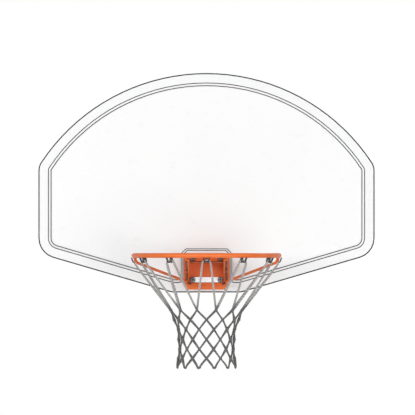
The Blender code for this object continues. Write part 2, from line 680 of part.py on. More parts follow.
def brace_rod(material, parent):
    """The bent rod under the ring: both tips under its sides, its level middle on the back plate."""
    radius = BRACE_ROD_RADIUS
    corner = Vector((BRACE_BAR_WIDTH / 2, BACK_PLATE_FRONT_Y - SEAT_GAP - radius, BRACE_BAR_HEIGHT))
    tip = along_ring((0, 0, -RING_ROD_RADIUS - SEAT_GAP - radius), math.radians(BRACE_RING_ANGLE))
    tip.y += RING_CENTRE_Y
    back = corner - tip
    knee = tip + back * BRACE_KNEE_LENGTH / math.hypot(back.x, back.y)
    knee.z = tip.z - BRACE_KNEE_FALL
    flip = Vector((-1, 1, 1))
    path = [tip]
    path += rounded_corner(tip, knee, corner, BRACE_KNEE_RADIUS, BEND_STEPS)
    path += rounded_corner(knee, corner, corner * flip, BRACE_BEND_RADIUS, CORNER_STEPS)
    path = [Vector(point) for point in path]
    path += [point * flip for point in reversed(path)]
    bm = bmesh.new()
    loft(bm, tube_sections(path, radius, BRACE_SIDES, Vector((0, 0, 1))))
    add_piece("brace_rod", bm, material, parent)


def hook_route():
    """One hook's wire as (along the ring, outward, up), from one horn's tip to the other's."""
    sweep = math.radians(HOOK_SADDLE_SWEEP)
    seat = RING_ROD_RADIUS + SEAT_GAP + HOOK_WIRE_RADIUS
    centre = (0, -math.sqrt(seat**2 - HOOK_SADDLE_INSET**2) - HOOK_SADDLE_RADIUS)
    up = math.pi / 2
    saddle = arc(centre, HOOK_SADDLE_RADIUS, up - sweep, up, SMALL_CORNER_STEPS)
    saddle = [(x, -HOOK_SADDLE_INSET, z) for x, z in saddle]
    inner = (HOOK_INNER_SPREAD, -HOOK_INNER_INSET, -HOOK_TROUGH_DROP)
    outer = (HOOK_OUTER_SPREAD, HOOK_OUTER_OUT, -HOOK_TROUGH_DROP)
    horn = (HOOK_HORN_SPREAD, HOOK_HORN_OUT, -HOOK_HORN_DROP)
    half = [horn]
    half += rounded_corner(horn, outer, inner, HOOK_TROUGH_RADIUS, SMALL_CORNER_STEPS)
    half += rounded_corner(outer, inner, saddle[0], HOOK_TROUGH_RADIUS, SMALL_CORNER_STEPS)
    half += saddle[:-1]
    return half + [saddle[-1]] + [(-x, outward, z) for x, outward, z in reversed(half)]


def net_hook(name, angle, material, parent):
    """One bent wire hook."""
    path = [along_ring(point, angle) for point in hook_route()]
    bm = bmesh.new()
    outward = Vector((math.sin(angle), math.cos(angle), 0))
    loft(bm, tube_sections(path, HOOK_WIRE_RADIUS, WIRE_SIDES, outward))
    add_piece(name, bm, material, parent)


def net_knots():
    """Centres of the net's knots, row by row. Odd and even rows are half a pitch apart."""
    pitch = 2 * math.pi / HOOK_COUNT
    rows = []
    for row, (drop, inset) in enumerate(zip(NET_ROW_DROPS, NET_ROW_INSETS)):
        shift = 0.5 if row % 2 == 0 else 0
        centre = (0, -inset, -drop)
        rows.append([along_ring(centre, (k + shift) * pitch) for k in range(HOOK_COUNT)])
    return rows


def net_top_routes(knots):
    """Each top loop: from one knot of the first row, over its hook's troughs, to the next knot."""
    sweep = math.radians(NET_LOOP_SWEEP)
    centre = (0, NET_LOOP_RISE - NET_LOOP_RADIUS)
    arch = arc(centre, NET_LOOP_RADIUS, math.pi / 2 + sweep, math.pi / 2 - sweep, LOOP_STEPS)
    routes = []
    for k in range(HOOK_COUNT):
        angle = 2 * math.pi * k / HOOK_COUNT
        middle = [along_ring((x, -NET_LOOP_INSET, z), angle) for x, z in arch]
        before = (k - 1) % HOOK_COUNT
        routes.append((knots[0][before], middle, knots[0][k], (0, before), (0, k)))
    return routes


def net_bottom_routes(knots):
    """Each bottom loop: from one knot of the last row, round the hem, to the next knot."""
    last = len(knots) - 1
    shift = 0.5 if last % 2 == 1 else 1
    centre = (0, NET_HEM_RADIUS - NET_HEM_DROP)
    bight = arc(centre, NET_HEM_RADIUS, math.pi, 2 * math.pi, BEND_STEPS)
    routes = []
    for k in range(HOOK_COUNT):
        angle = 2 * math.pi * (k + shift) / HOOK_COUNT
        middle = [along_ring((x, -NET_HEM_INSET, z), angle) for x, z in bight]
        after = (k + 1) % HOOK_COUNT
        routes.append((knots[last][k], middle, knots[last][after], (last, k), (last, after)))
    return routes


def net_side_routes(knots):
    """Each straight strand between two rows."""
    routes = []
    for row in range(len(knots) - 1):
        step = 0 if row % 2 == 0 else -1
        for k in range(HOOK_COUNT):
            for neighbour in (k + step, k + step + 1):
                other = neighbour % HOOK_COUNT
                routes.append((knots[row][k], [], knots[row + 1][other], (row, k), (row + 1, other)))
    return routes


def knot_reaches(routes):
    """How far from its centre each knot lets go of each cord, so that neighbours clear each other."""
    leaving = {}
    for number, (start, middle, end, key_start, key_end) in enumerate(routes):
        first = (middle or [end])[0]
        last = (middle or [start])[-1]
        leaving.setdefault(key_start, []).append((number, 0, (first - start).normalized()))
        leaving.setdefault(key_end, []).append((number, 1, (last - end).normalized()))
    reaches = {}
    for cords in leaving.values():
        for number, which, direction in cords:
            others = [other for n, w, other in cords if (n, w) != (number, which)]
            narrowest = min(direction.angle(other) for other in others)
            reach = CORD_RADIUS / math.tan(narrowest / 2) * KNOT_REACH_FACTOR
            reaches[number, which] = max(reach, KNOT_SMALLEST_REACH)
    return reaches


def hull_between(sections):
    """Triangles of the hull round some sections, leaving each section's own cap open."""
    bm = bmesh.new()
    owner = {}
    for which, section in enumerate(sections):
        for place, point in enumerate(section):
            owner[bm.verts.new(point)] = (which, place)
    bmesh.ops.convex_hull(bm, input=list(bm.verts), use_existing_faces=False)
    triangles = []
    for face in bm.faces:
        corners = [owner[vert] for vert in face.verts]
        if len({which for which, place in corners}) > 1:
            triangles.append(corners)
    bm.free()
    return triangles


def net(material, parent):
    """The net as one body: cords that leave each knot through its hull's open ends."""
    knots = net_knots()
    routes = net_top_routes(knots) + net_side_routes(knots) + net_bottom_routes(knots)
    reaches = knot_reaches(routes)
    bm = bmesh.new()
    at_knot = {}
    for number, (start, middle, end, key_start, key_end) in enumerate(routes):
        first = (middle or [end])[0]
        last = (middle or [start])[-1]
        path = [start + (first - start).normalized() * reaches[number, 0]]
        path += middle
        path += [end + (last - end).normalized() * reaches[number, 1]]
        outward = Vector((path[0].x, path[0].y, 0))
        sections = tube_sections(path, CORD_RADIUS, WIRE_SIDES, outward)
        loops = [add_loop(bm, section) for section in sections]
        for one, two in zip(loops, loops[1:]):
            bridge(bm, one, two)
        at_knot.setdefault(key_start, []).append(loops[0])
        at_knot.setdefault(key_end, []).append(loops[-1])
    for loops in at_knot.values():
        for corners in hull_between([[vert.co for vert in loop] for loop in loops]):
            bm.faces.new([loops[which][place] for which, place in corners])
    add_piece("net", bm, material, parent)


def bolt_on_rim(pieces, channels, material, parent):
    """The rim's bolts, washers and nuts, and their holes."""
    places = rim_bolt_places()
    hole = BOLT_RADIUS + SHANK_CLEARANCE
    through = bores("bolt_bores", places, hole, 0, 2 * STRAP_FRONT_Y, parent)
    for piece in pieces:
        combine(piece, through)
    web_bores = bores("web_bolt_bores", places, hole, CHANNEL_MIDDLE_Y, PANEL_FRONT_Y, parent)
    for channel in channels:
        combine(channel, web_bores)
    for number, place in enumerate(places, 1):
        rim_bolt(f"rim_bolt_{number}", place, material, parent)
        rim_washer(f"rim_washer_{number}", place, material, parent)
        rim_nut(f"rim_nut_{number}", place, material, parent)


def screw_on_frame(frame, panel, material, parent):
    """The screws that hold the moulding to the panel, and their holes."""
    places = frame_screw_places()
    hole_end = FRAME_FRONT_Y + FRAME_SCREW_COVER
    hole = FRAME_SCREW_RADIUS + SHANK_CLEARANCE
    holes = bores("frame_screw_bores", places, hole, 0, hole_end, parent)
    combine(frame, holes)
    combine(panel, holes)
    sizes = (FRAME_SCREW_RADIUS, FRAME_SCREW_HEAD_RADIUS, FRAME_SCREW_HEAD_HEIGHT)
    ends = (PANEL_REAR_Y + SEAT_GAP, hole_end + SHANK_CLEARANCE)
    for number, place in enumerate(places, 1):
        pan_screw(f"frame_screw_{number}", place, *sizes, *ends, material, parent)


def screw_on_channels(channels, panel, material, parent):
    """The screws that hold the channels to the panel, and their holes."""
    places = channel_screw_places()
    hole_end = PANEL_FRONT_Y + CHANNEL_SCREW_COVER
    hole = CHANNEL_SCREW_RADIUS + SHANK_CLEARANCE
    holes = bores("channel_screw_bores", places, hole, CHANNEL_MIDDLE_Y, hole_end, parent)
    combine(panel, holes)
    for channel in channels:
        combine(channel, holes)
    sizes = (CHANNEL_SCREW_RADIUS, CHANNEL_SCREW_HEAD_RADIUS, CHANNEL_SCREW_HEAD_HEIGHT)
    ends = (CHANNEL_FLOOR_Y + SEAT_GAP, hole_end + SHANK_CLEARANCE)
    for number, place in enumerate(places, 1):
        pan_screw(f"channel_screw_{number}", place, *sizes, *ends, material, parent)


def build():
    """Make every piece of the hoop."""
    clear_scene()
    white_panel = finish("white_panel", (0.83, 0.84, 0.84), 0.35)
    white_frame = finish("white_frame", (0.80, 0.81, 0.81), 0.45)
    rim_paint = finish("orange_rim", (0.80, 0.16, 0.03), 0.35)
    zinc = finish("zinc_plate", (0.62, 0.63, 0.65), 0.35, 0.9)
    black_wire = finish("black_wire", (0.06, 0.06, 0.065), 0.45, 0.8)
    galvanised = finish("galvanised_steel", (0.55, 0.57, 0.59), 0.5, 0.8)
    cord = finish("white_cord", (0.86, 0.85, 0.82), 0.85)

    ring_plane = add_empty("ring_plane", (0, 0, RING_PLANE_HEIGHT))
    ring_centre = add_empty("ring_centre", (0, RING_CENTRE_Y, 0), ring_plane)
    net_hinge = add_empty("net_hinge", (0, 0, -HOOK_TROUGH_DROP), ring_centre)

    mount_plate(galvanised)
    frame = board_frame(white_frame, ring_plane)
    panel = board_panel(white_panel, ring_plane)
    channels = [
        rear_channel("rear_channel_right", 1, galvanised, ring_plane),
        rear_channel("rear_channel_left", -1, galvanised, ring_plane),
    ]
    screw_on_frame(frame, panel, zinc, ring_plane)
    screw_on_channels(channels, panel, zinc, ring_plane)

    plate = back_plate(rim_paint, ring_plane)
    strap = lower_strap(zinc, ring_plane)
    gusset("gusset_right", 1, rim_paint, ring_plane)
    gusset("gusset_left", -1, rim_paint, ring_plane)
    cross_plate(rim_paint, ring_plane)
    bolt_on_rim([frame, panel, plate, strap], channels, zinc, ring_plane)

    rim_ring(rim_paint, ring_centre)
    brace_rod(rim_paint, ring_plane)
    for k in range(HOOK_COUNT):
        net_hook(f"net_hook_{k + 1:02d}", 2 * math.pi * k / HOOK_COUNT, black_wire, ring_centre)
    net(cord, net_hinge)


build()
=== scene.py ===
"""Basketball hoop: a fan-shaped board, an orange steel rim on its bracket, and a net of twisted cord.

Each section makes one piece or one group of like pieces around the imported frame, in the order in
which the hoop is put together, from the plate on the pole's arm to the net.
"""
import math

import bmesh
import bpy
import numpy as np
from mathutils import Matrix, Vector


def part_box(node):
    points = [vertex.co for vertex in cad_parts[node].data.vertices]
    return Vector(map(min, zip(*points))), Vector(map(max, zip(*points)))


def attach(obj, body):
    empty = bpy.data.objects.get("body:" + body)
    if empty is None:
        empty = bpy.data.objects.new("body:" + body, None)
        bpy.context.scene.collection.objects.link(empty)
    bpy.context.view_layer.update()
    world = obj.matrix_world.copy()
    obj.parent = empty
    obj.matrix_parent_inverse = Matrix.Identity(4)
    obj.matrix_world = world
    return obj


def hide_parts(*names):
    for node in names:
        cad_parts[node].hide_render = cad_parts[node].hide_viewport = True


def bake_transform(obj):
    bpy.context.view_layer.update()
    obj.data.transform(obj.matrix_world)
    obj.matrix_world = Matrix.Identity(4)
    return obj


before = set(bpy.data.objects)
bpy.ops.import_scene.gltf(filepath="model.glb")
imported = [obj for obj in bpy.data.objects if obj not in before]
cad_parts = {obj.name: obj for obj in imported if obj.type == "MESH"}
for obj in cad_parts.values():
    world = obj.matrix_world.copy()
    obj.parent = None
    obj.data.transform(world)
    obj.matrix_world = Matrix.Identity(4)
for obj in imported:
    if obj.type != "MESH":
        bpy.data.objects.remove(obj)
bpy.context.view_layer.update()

# Mounting plate: 4 mm steel, cut with round corners and drilled for the four M10 bolts of a pole's
# arm or a wall bracket, then hot-dip galvanised, which leaves crystals of zinc on its faces.
MERGE_DISTANCE = 0.00001
LEVEL_MARGIN = 0.0001
PLATE_CORNER = 0.010
PLATE_EDGE = 0.0004
PLATE_HOLE_RADIUS = 0.0055
PLATE_HOLE_MARGIN = 0.020
DRILL_OVERRUN = 0.002


class Tone:
    """One socket of a material. Sums on it add Math nodes, and node() adds a node of any other kind."""

    def __init__(self, socket):
        self.socket = socket

    def node(self, kind, settings=None, inputs=None, output=0):
        """Add a node: settings are set first, then the values or links of its sockets."""
        tree = self.socket.id_data
        added = tree.nodes.new("ShaderNode" + kind)
        for name, value in (settings or {}).items():
            setattr(added, name, value)
        for name, value in (inputs or {}).items():
            if isinstance(value, Tone):
                tree.links.new(value.socket, added.inputs[name])
            else:
                added.inputs[name].default_value = value
        return Tone(added.outputs[output])

    def maths(self, operation, first, second):
        return self.node("Math", {"operation": operation}, {0: first, 1: second})

    def __add__(self, other):
        return self.maths("ADD", self, other)

    __radd__ = __add__

    def __sub__(self, other):
        return self.maths("SUBTRACT", self, other)

    def __rsub__(self, other):
        return self.maths("SUBTRACT", other, self)

    def __mul__(self, other):
        return self.maths("MULTIPLY", self, other)

    __rmul__ = __mul__

    def within(self, start, end):
        """A share from 0 to 1, rising smoothly as this number goes from start to end."""
        settings = {"interpolation_type": "SMOOTHSTEP"}
        return self.node("MapRange", settings, {"Value": self, "From Min": start, "From Max": end})

    def noise(self, scale, detail=2.0, stretch=(1, 1, 1)):
        """Soft random spots over these coordinates, so many to the metre, about 0.5."""
        spread = self.node("VectorMath", {"operation": "MULTIPLY"}, {0: self, 1: stretch})
        return self.node("TexNoise", inputs={"Vector": spread, "Scale": scale, "Detail": detail})

    def mix(self, first, second):
        """The first colour where this share is 0, the second where it is 1."""
        if not isinstance(first, Tone):
            first = (*first, 1)
        if not isinstance(second, Tone):
            second = (*second, 1)
        return self.node("Mix", {"data_type": "RGBA"}, {0: self, 6: first, 7: second}, output=2)

    def feed(self, name):
        """Link this to the finish's shader."""
        tree = self.socket.id_data
        tree.links.new(self.socket, tree.nodes["Principled BSDF"].inputs[name])

    def emboss(self, strength, depth):
        """Use this as the height of the surface's fine relief."""
        self.node("Bump", inputs={"Height": self, "Strength": strength, "Distance": depth}).feed("Normal")


def new_finish(name, **constants):
    """A material with its shader's constant values, and the object's coordinates to draw on it with."""
    finish = bpy.data.materials.new(name)
    finish.use_nodes = True
    tree = finish.node_tree
    for socket, value in constants.items():
        tree.nodes["Principled BSDF"].inputs[socket.replace("_", " ")].default_value = value
    return finish, Tone(tree.nodes.new("ShaderNodeTexCoord").outputs["Object"])


def hold(piece):
    """Select this piece alone, as the one to work on."""
    bpy.ops.object.select_all(action="DESELECT")
    piece.select_set(True)
    bpy.context.view_layer.objects.active = piece
    return piece


def named(name):
    """Name the primitive that was just added."""
    piece = bpy.context.active_object
    piece.name = name
    piece.data.name = name
    return hold(piece)


def block(name, near, far):
    """A cube primitive stretched between two corners."""
    bpy.ops.object.select_all(action="DESELECT")
    near, far = Vector(near), Vector(far)
    bpy.ops.mesh.primitive_cube_add(size=1, location=(near + far) / 2, scale=far - near)
    return named(name)


def bar(name, place, radius, rear, front, sides=40, turn=0.0):
    """A cylinder primitive that lies from front to rear, centred on (x, z)."""
    bpy.ops.object.select_all(action="DESELECT")
    bpy.ops.mesh.primitive_cylinder_add(
        vertices=sides, radius=radius, depth=rear - front,
        location=(place[0], (rear + front) / 2, place[1]), rotation=(math.pi / 2, turn, 0),
    )
    return named(name)


def pick(piece, kind, test):
    """In edit mode, select the faces or edges whose points all pass a test."""
    bpy.ops.mesh.select_mode(type=kind)
    bpy.ops.mesh.select_all(action="DESELECT")
    drawn = bmesh.from_edit_mesh(piece.data)
    for part in drawn.faces if kind == "FACE" else drawn.edges:
        part.select_set(test([piece.matrix_world @ vert.co for vert in part.verts]))
    bmesh.update_edit_mesh(piece.data)


def lies_along(axis, ends):
    """Whether an edge runs along an axis: 0 is X, 1 is Y, 2 is Z."""
    return abs(ends[0][axis] - ends[1][axis]) > LEVEL_MARGIN


def round_edges(piece, width, segments, test):
    """Round the edges whose ends pass a test, or chamfer them with one segment."""
    hold(piece)
    bpy.ops.object.mode_set(mode="EDIT")
    pick(piece, "EDGE", test)
    bpy.ops.mesh.bevel(offset=width, segments=segments, affect="EDGES")
    bpy.ops.object.mode_set(mode="OBJECT")


def cut(piece, tool, operation="DIFFERENCE"):
    """Cut a piece with a tool, join the two, or keep what they share. The tool is used up."""
    hold(piece)
    boolean = piece.modifiers.new("cut", "BOOLEAN")
    boolean.operation = operation
    boolean.solver = "EXACT"
    boolean.object = tool
    bpy.ops.object.modifier_apply(modifier=boolean.name)
    bpy.data.objects.remove(tool, do_unlink=True)
    return piece


def drill(piece, places, radius, rear, front):
    """Round holes from front to rear through a piece."""
    for place in places:
        cut(piece, bar("drill", place, radius, rear + DRILL_OVERRUN, front - DRILL_OVERRUN, 32))


def clean(piece, angle=35):
    """Put a piece's place in its mesh, close its seams, turn its faces outward and smooth its curves."""
    hold(piece)
    bpy.ops.object.transform_apply(location=True, rotation=True, scale=True)
    bpy.ops.object.mode_set(mode="EDIT")
    bpy.ops.mesh.select_mode(type="VERT")
    bpy.ops.mesh.select_all(action="SELECT")
    bpy.ops.mesh.remove_doubles(threshold=MERGE_DISTANCE)
    bpy.ops.mesh.normals_make_consistent(inside=False)
    bpy.ops.object.mode_set(mode="OBJECT")
    bpy.ops.object.shade_smooth_by_angle(angle=math.radians(angle))
    return piece


def soften(piece, width, angle=35):
    """Round a piece's sharp edges, as tumbling and paint do."""
    clean(piece)
    bevel = piece.modifiers.new("soften", "BEVEL")
    bevel.width = width
    bevel.segments = 2
    bevel.limit_method = "ANGLE"
    bevel.angle_limit = math.radians(angle)
    bpy.ops.object.modifier_apply(modifier=bevel.name)
    return clean(piece)


def fit(piece, finish, slot, *replaced, body="hoop"):
    """Finish a piece, let it ride on its body, and let it stand for its CAD nodes."""
    if not piece.data.materials:
        piece.data.materials.append(finish)
    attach(piece, body)
    if replaced:
        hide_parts(*replaced)


galvanised, surface = new_finish("galvanised_steel", Metallic=0.85)
crystal = surface.node("TexVoronoi", inputs={"Vector": surface, "Scale": 95.0}, output="Color")
crystal = crystal.node("SeparateColor", inputs={0: crystal})
cloud = surface.noise(22, 4)
(crystal * 0.55 + cloud * 0.45).mix((0.40, 0.42, 0.44), (0.66, 0.68, 0.70)).feed("Base Color")
(crystal * 0.18 + cloud * 0.12 + 0.30).feed("Roughness")
(crystal * 0.3 + surface.noise(700, 3)).emboss(0.12, 0.0004)

low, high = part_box("mount_plate")
mounting_plate = block("mounting_plate", low, high)
round_edges(mounting_plate, PLATE_CORNER, 8, lambda ends: lies_along(1, ends))
hole_x, hole_z = high.x - PLATE_HOLE_MARGIN, high.z - PLATE_HOLE_MARGIN
plate_holes = [(x, z) for x in (-hole_x, hole_x) for z in (-hole_z, hole_z)]
drill(mounting_plate, plate_holes, PLATE_HOLE_RADIUS, high.y, low.y)
soften(mounting_plate, PLATE_EDGE)
fit(mounting_plate, galvanised, "galvanised_steel", "mount_plate")

# Rear channels: two lengths of 2.5 mm strip, rolled to a lipped channel. Their webs lie on the
# panel's back and take the rim's bolts and two screws each; their lips are welded to the plate.
CHANNEL_WALL = 0.0025
CHANNEL_LIP = 0.011
CHANNEL_BEND = 0.004
CHANNEL_EDGE = 0.0003
RIM_HOLE_RADIUS = 0.0043
PANEL_SCREW_HOLE_RADIUS = 0.0028
LIP_BEAD_RADIUS = 0.0017
LIP_BEAD_RISE = 0.0008
LIP_BEAD_MARGIN = 0.001
WELD_STEP = 0.0006
WELD_RIPPLE = 0.0022
WELD_HOLLOW = 0.14
WELD_END_SHARES = (0.45, 0.75)


def centre_of(node):
    """The middle of a CAD node, as (x, z)."""
    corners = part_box(node)
    middle = (corners[0] + corners[1]) / 2
    return middle.x, middle.z


def run(name, path, radius, resolution, swell=None):
    """A round bar along a path, with its ends closed, made as a curve. Swell scales it at each point."""
    line = bpy.data.curves.new(name, "CURVE")
    line.dimensions = "3D"
    line.bevel_depth = radius
    line.bevel_resolution = resolution
    line.use_fill_caps = True
    spline = line.splines.new("POLY")
    spline.points.add(len(path) - 1)
    for i, point in enumerate(path):
        spline.points[i].co = (*point, 1)
        spline.points[i].radius = swell[i] if swell else 1
    piece = bpy.data.objects.new(name, line)
    bpy.context.scene.collection.objects.link(piece)
    hold(piece)
    bpy.ops.object.convert(target="MESH")
    return bpy.context.active_object


def weld(ends, radius, ripple):
    """A bead of weld along a path, with the ripples that each drop leaves."""
    path = [Vector(ends[0])]
    for start, end in zip(ends, ends[1:]):
        start, end = Vector(start), Vector(end)
        count = max(2, round((end - start).length / WELD_STEP))
        path += [start.lerp(end, i / count) for i in range(1, count + 1)]
    length, swell = 0.0, []
    for i, point in enumerate(path):
        length += (point - path[i - 1]).length if i else 0
        swell.append(1 - WELD_HOLLOW + WELD_HOLLOW * abs(math.cos(math.pi * length / ripple)))
    for i, share in enumerate(WELD_END_SHARES):
        swell[i] = swell[-1 - i] = share
    return run("bead", path, radius, 3, swell)


def welded(piece, seams, finish=None, ripple=WELD_RIPPLE, angle=35):
    """A piece joined with its beads of weld. Each seam is a path and the radius of its bead."""
    name = piece.name
    beads = [weld(ends, radius, ripple) for ends, radius in seams]
    hold(piece)
    for bead in beads:
        if finish:
            bead.data.materials.append(finish)
        bead.select_set(True)
    bpy.ops.object.join()
    return clean(named(name), angle)


rim_holes = [centre_of(f"rim_bolt_{number}") for number in range(1, 5)]
panel_screws = [centre_of(f"channel_screw_{number}") for number in range(1, 5)]
for side in ("left", "right"):
    low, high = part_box(f"rear_channel_{side}")
    web = block(f"channel_{side}", low, (high.x, low.y + CHANNEL_WALL, high.z))
    bpy.ops.object.mode_set(mode="EDIT")
    pick(web, "FACE", lambda points: max(p.y for p in points) < low.y + CHANNEL_WALL / 2)
    bpy.ops.mesh.select_all(action="INVERT")
    bpy.ops.mesh.delete(type="FACE")
    for turn in (-1, 1):
        edge_x = high.x if turn > 0 else low.x
        pick(web, "EDGE", lambda ends: all(abs(p.x - edge_x) < LEVEL_MARGIN for p in ends))
        bpy.ops.mesh.extrude_edges_move(TRANSFORM_OT_translate={"value": (0, high.y - low.y, 0)})
        bpy.ops.mesh.extrude_edges_move(TRANSFORM_OT_translate={"value": (-turn * CHANNEL_LIP, 0, 0)})
    bpy.ops.mesh.select_all(action="SELECT")
    bpy.ops.mesh.normals_make_consistent(inside=False)
    bpy.ops.object.mode_set(mode="OBJECT")
    round_edges(web, CHANNEL_BEND, 5, lambda ends: (
        lies_along(2, ends) and all(min(p.x - low.x, high.x - p.x) < LEVEL_MARGIN for p in ends)
    ))
    wall = web.modifiers.new("wall", "SOLIDIFY")
    wall.thickness = CHANNEL_WALL
    wall.offset = -1
    bpy.ops.object.modifier_apply(modifier=wall.name)
    for places, radius in ((rim_holes, RIM_HOLE_RADIUS), (panel_screws, PANEL_SCREW_HOLE_RADIUS)):
        mine = [place for place in places if low.x < place[0] < high.x]
        drill(web, mine, radius, low.y + CHANNEL_WALL, low.y)
    soften(web, CHANNEL_EDGE)
    plate_low, plate_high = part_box("mount_plate")
    seams = []
    for z in (plate_low.z, plate_high.z):
        for x in (low.x + CHANNEL_BEND, high.x - CHANNEL_LIP):
            far_x = x + CHANNEL_LIP - CHANNEL_BEND - LIP_BEAD_MARGIN
            ends = [(end_x, high.y + LIP_BEAD_RISE, z) for end_x in (x + LIP_BEAD_MARGIN, far_x)]
            seams.append((ends, LIP_BEAD_RADIUS))
    channel = welded(web, seams)
    fit(channel, galvanised, "galvanised_steel", f"rear_channel_{side}")

# Panel: the flat 10 mm sheet that the ball strikes, gloss white. Its edge is hidden in the border
# moulding. Years of play leave faint scuffs and dust on it.
gloss_white, surface = new_finish("white_panel", Specular_IOR_Level=0.4)
cloud = surface.noise(5, 4)
scuff = surface.noise(34, 6, (1, 1, 1.7)).within(0.58, 0.78)
colour = cloud.mix((0.855, 0.862, 0.865), (0.89, 0.893, 0.893))
(scuff * 0.14).mix(colour, (0.66, 0.65, 0.64)).feed("Base Color")
(0.42 + cloud * 0.10 + scuff * 0.15).feed("Roughness")
(surface.noise(140, 2) + scuff * 0.3).emboss(0.05, 0.0005)
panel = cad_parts["board_panel"]
for material_slot in panel.material_slots:
    material_slot.material = gloss_white

# Border moulding: satin white, one moulding round the panel's edge that widens into a pad behind
# the rim's bracket. Its edges are outlined in black painted shade: a band round its outer edge, a
# band along its crest, and at its foot a strip of the slope and a seal strip, all black as painted shade.
EDGE_SHADE_BAND = 0.0025
CREST_SHADE_BAND = 0.0015
SEAL_WIDTH = 0.0015
FOOT_SHADE_RISE = 0.0006
MOULDING_CREST_Y = -0.0544
MOULDING_FOOT_Y = -0.0504
MOULDING_LIP = 0.0015
CREST_MARGIN = 0.0002
SLOPE_LEAST = 0.5
SLOPE_MOST = 0.99
UPRIGHT_MOST = 0.02
TIDY_ANGLE = 0.5


def copied(node, name):
    """A copy of a CAD node as a new piece, its loose triangles merged into whole faces."""
    bpy.ops.object.select_all(action="DESELECT")
    piece = bpy.data.objects.new(name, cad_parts[node].data.copy())
    piece.data.name = name
    piece.data.materials.clear()
    bpy.context.scene.collection.objects.link(piece)
    hold(piece)
    bpy.ops.mesh.customdata_custom_splitnormals_clear()
    bpy.ops.object.mode_set(mode="EDIT")
    bpy.ops.mesh.select_all(action="SELECT")
    bpy.ops.mesh.remove_doubles(threshold=MERGE_DISTANCE)
    bpy.ops.mesh.dissolve_limited(angle_limit=math.radians(TIDY_ANGLE))
    bpy.ops.object.mode_set(mode="OBJECT")
    return piece


def slopes(face):
    """Whether a face of the moulding is part of its slope."""
    return SLOPE_LEAST < abs(face.normal.y) < SLOPE_MOST


def stands(face):
    """Whether a face of the moulding stands square to the board."""
    return abs(face.normal.y) < UPRIGHT_MOST


satin_white, surface = new_finish("white_frame", Specular_IOR_Level=0.45)
cloud = surface.noise(9, 4)
grain = surface.noise(950, 2)
(cloud * 0.8 + grain * 0.2).mix((0.82, 0.828, 0.832), (0.88, 0.885, 0.885)).feed("Base Color")
(0.40 + cloud * 0.14 + grain * 0.06).feed("Roughness")
grain.emboss(0.18, 0.0004)

# Black finish, dusty in tone, for the seal strip and the painted shade on the moulding's edges.
seal_and_edge_shade, surface = new_finish("seal_and_edge_shade", Specular_IOR_Level=0.15)
dust = surface.noise(60, 5)
dust.mix((0.010, 0.010, 0.011), (0.035, 0.034, 0.033)).feed("Base Color")
(0.60 + dust * 0.2).feed("Roughness")
dust.emboss(0.1, 0.0003)

moulding = copied("board_frame", "border_moulding")
moulding.data.materials.append(satin_white)
moulding.data.materials.append(seal_and_edge_shade)
bpy.ops.object.mode_set(mode="EDIT")
# Bevel the outer edge and the crest into narrow bands of the black finish: painted shade that outlines
# them.
for outside, width in ((True, EDGE_SHADE_BAND), (False, CREST_SHADE_BAND)):
    bpy.ops.mesh.select_mode(type="EDGE")
    bpy.ops.mesh.select_all(action="DESELECT")
    drawn = bmesh.from_edit_mesh(moulding.data)
    for edge in drawn.edges:
        at_crest = all(abs(vert.co.y - MOULDING_CREST_Y) < CREST_MARGIN for vert in edge.verts)
        if not at_crest or len(edge.link_faces) != 2:
            continue
        sloping = any(slopes(face) for face in edge.link_faces)
        standing = any(stands(face) for face in edge.link_faces)
        edge.select_set(standing and not sloping if outside else sloping)
    bmesh.update_edit_mesh(moulding.data)
    bpy.ops.mesh.bevel(offset=width, segments=3, affect="EDGES", material=1)
bpy.ops.mesh.select_mode(type="FACE")
bpy.ops.mesh.select_all(action="DESELECT")
drawn = bmesh.from_edit_mesh(moulding.data)
for face in drawn.faces:
    face.select_set(slopes(face) and face.normal.y < 0)
bmesh.update_edit_mesh(moulding.data)
# The foot of the slope is painted black, as painted shade where the moulding meets the panel.
foot_shade_y = MOULDING_FOOT_Y - FOOT_SHADE_RISE
bpy.ops.mesh.bisect(plane_co=(0, foot_shade_y, 0), plane_no=(0, 1, 0))
drawn = bmesh.from_edit_mesh(moulding.data)
for face in drawn.faces:
    if slopes(face) and all(vert.co.y > foot_shade_y - MERGE_DISTANCE for vert in face.verts):
        face.material_index = 1
    depths = [vert.co.y - MOULDING_FOOT_Y for vert in face.verts]
    at_lip = min(depths) > -MERGE_DISTANCE and max(depths) < MOULDING_LIP + MERGE_DISTANCE
    face.select_set(at_lip and stands(face))
bmesh.update_edit_mesh(moulding.data)
# The seal strip at the foot takes the black finish too; its black is painted shade.
moulding.active_material_index = 1
bpy.ops.object.material_slot_assign()
bpy.ops.mesh.extrude_region_shrink_fatten(
    TRANSFORM_OT_shrink_fatten={"value": SEAL_WIDTH, "use_even_offset": True}
)
bpy.ops.object.mode_set(mode="OBJECT")
clean(moulding)
fit(moulding, satin_white, "white_frame", "board_frame")

# Screws: zinc-plated steel, pan heads with a cross recess. Nine hold the moulding to the panel and
# four the channels, all driven from behind. One of each size is made and the rest are copies.
SCREW_SIZES = {"frame_screw": (9, 0.00225, 0.0028), "channel_screw": (4, 0.0025, 0.003)}
HEAD_ROUND = 0.55
RECESS_SHARE = 0.62
RECESS_WIDTH = 0.20
RECESS_DEPTH = 0.55
SHANK_SINK = 0.7
TIP_INSET = 0.5

zinc, surface = new_finish("zinc_plate", Metallic=0.9)
cloud = surface.noise(180, 4)
bloom = surface.noise(420, 3).within(0.5, 0.8)
colour = cloud.mix((0.50, 0.52, 0.55), (0.70, 0.70, 0.70))
(bloom * 0.35).mix(colour, (0.66, 0.60, 0.46)).feed("Base Color")
(0.36 + cloud * 0.16 + bloom * 0.12).feed("Roughness")
surface.noise(1500, 2).emboss(0.08, 0.0002)


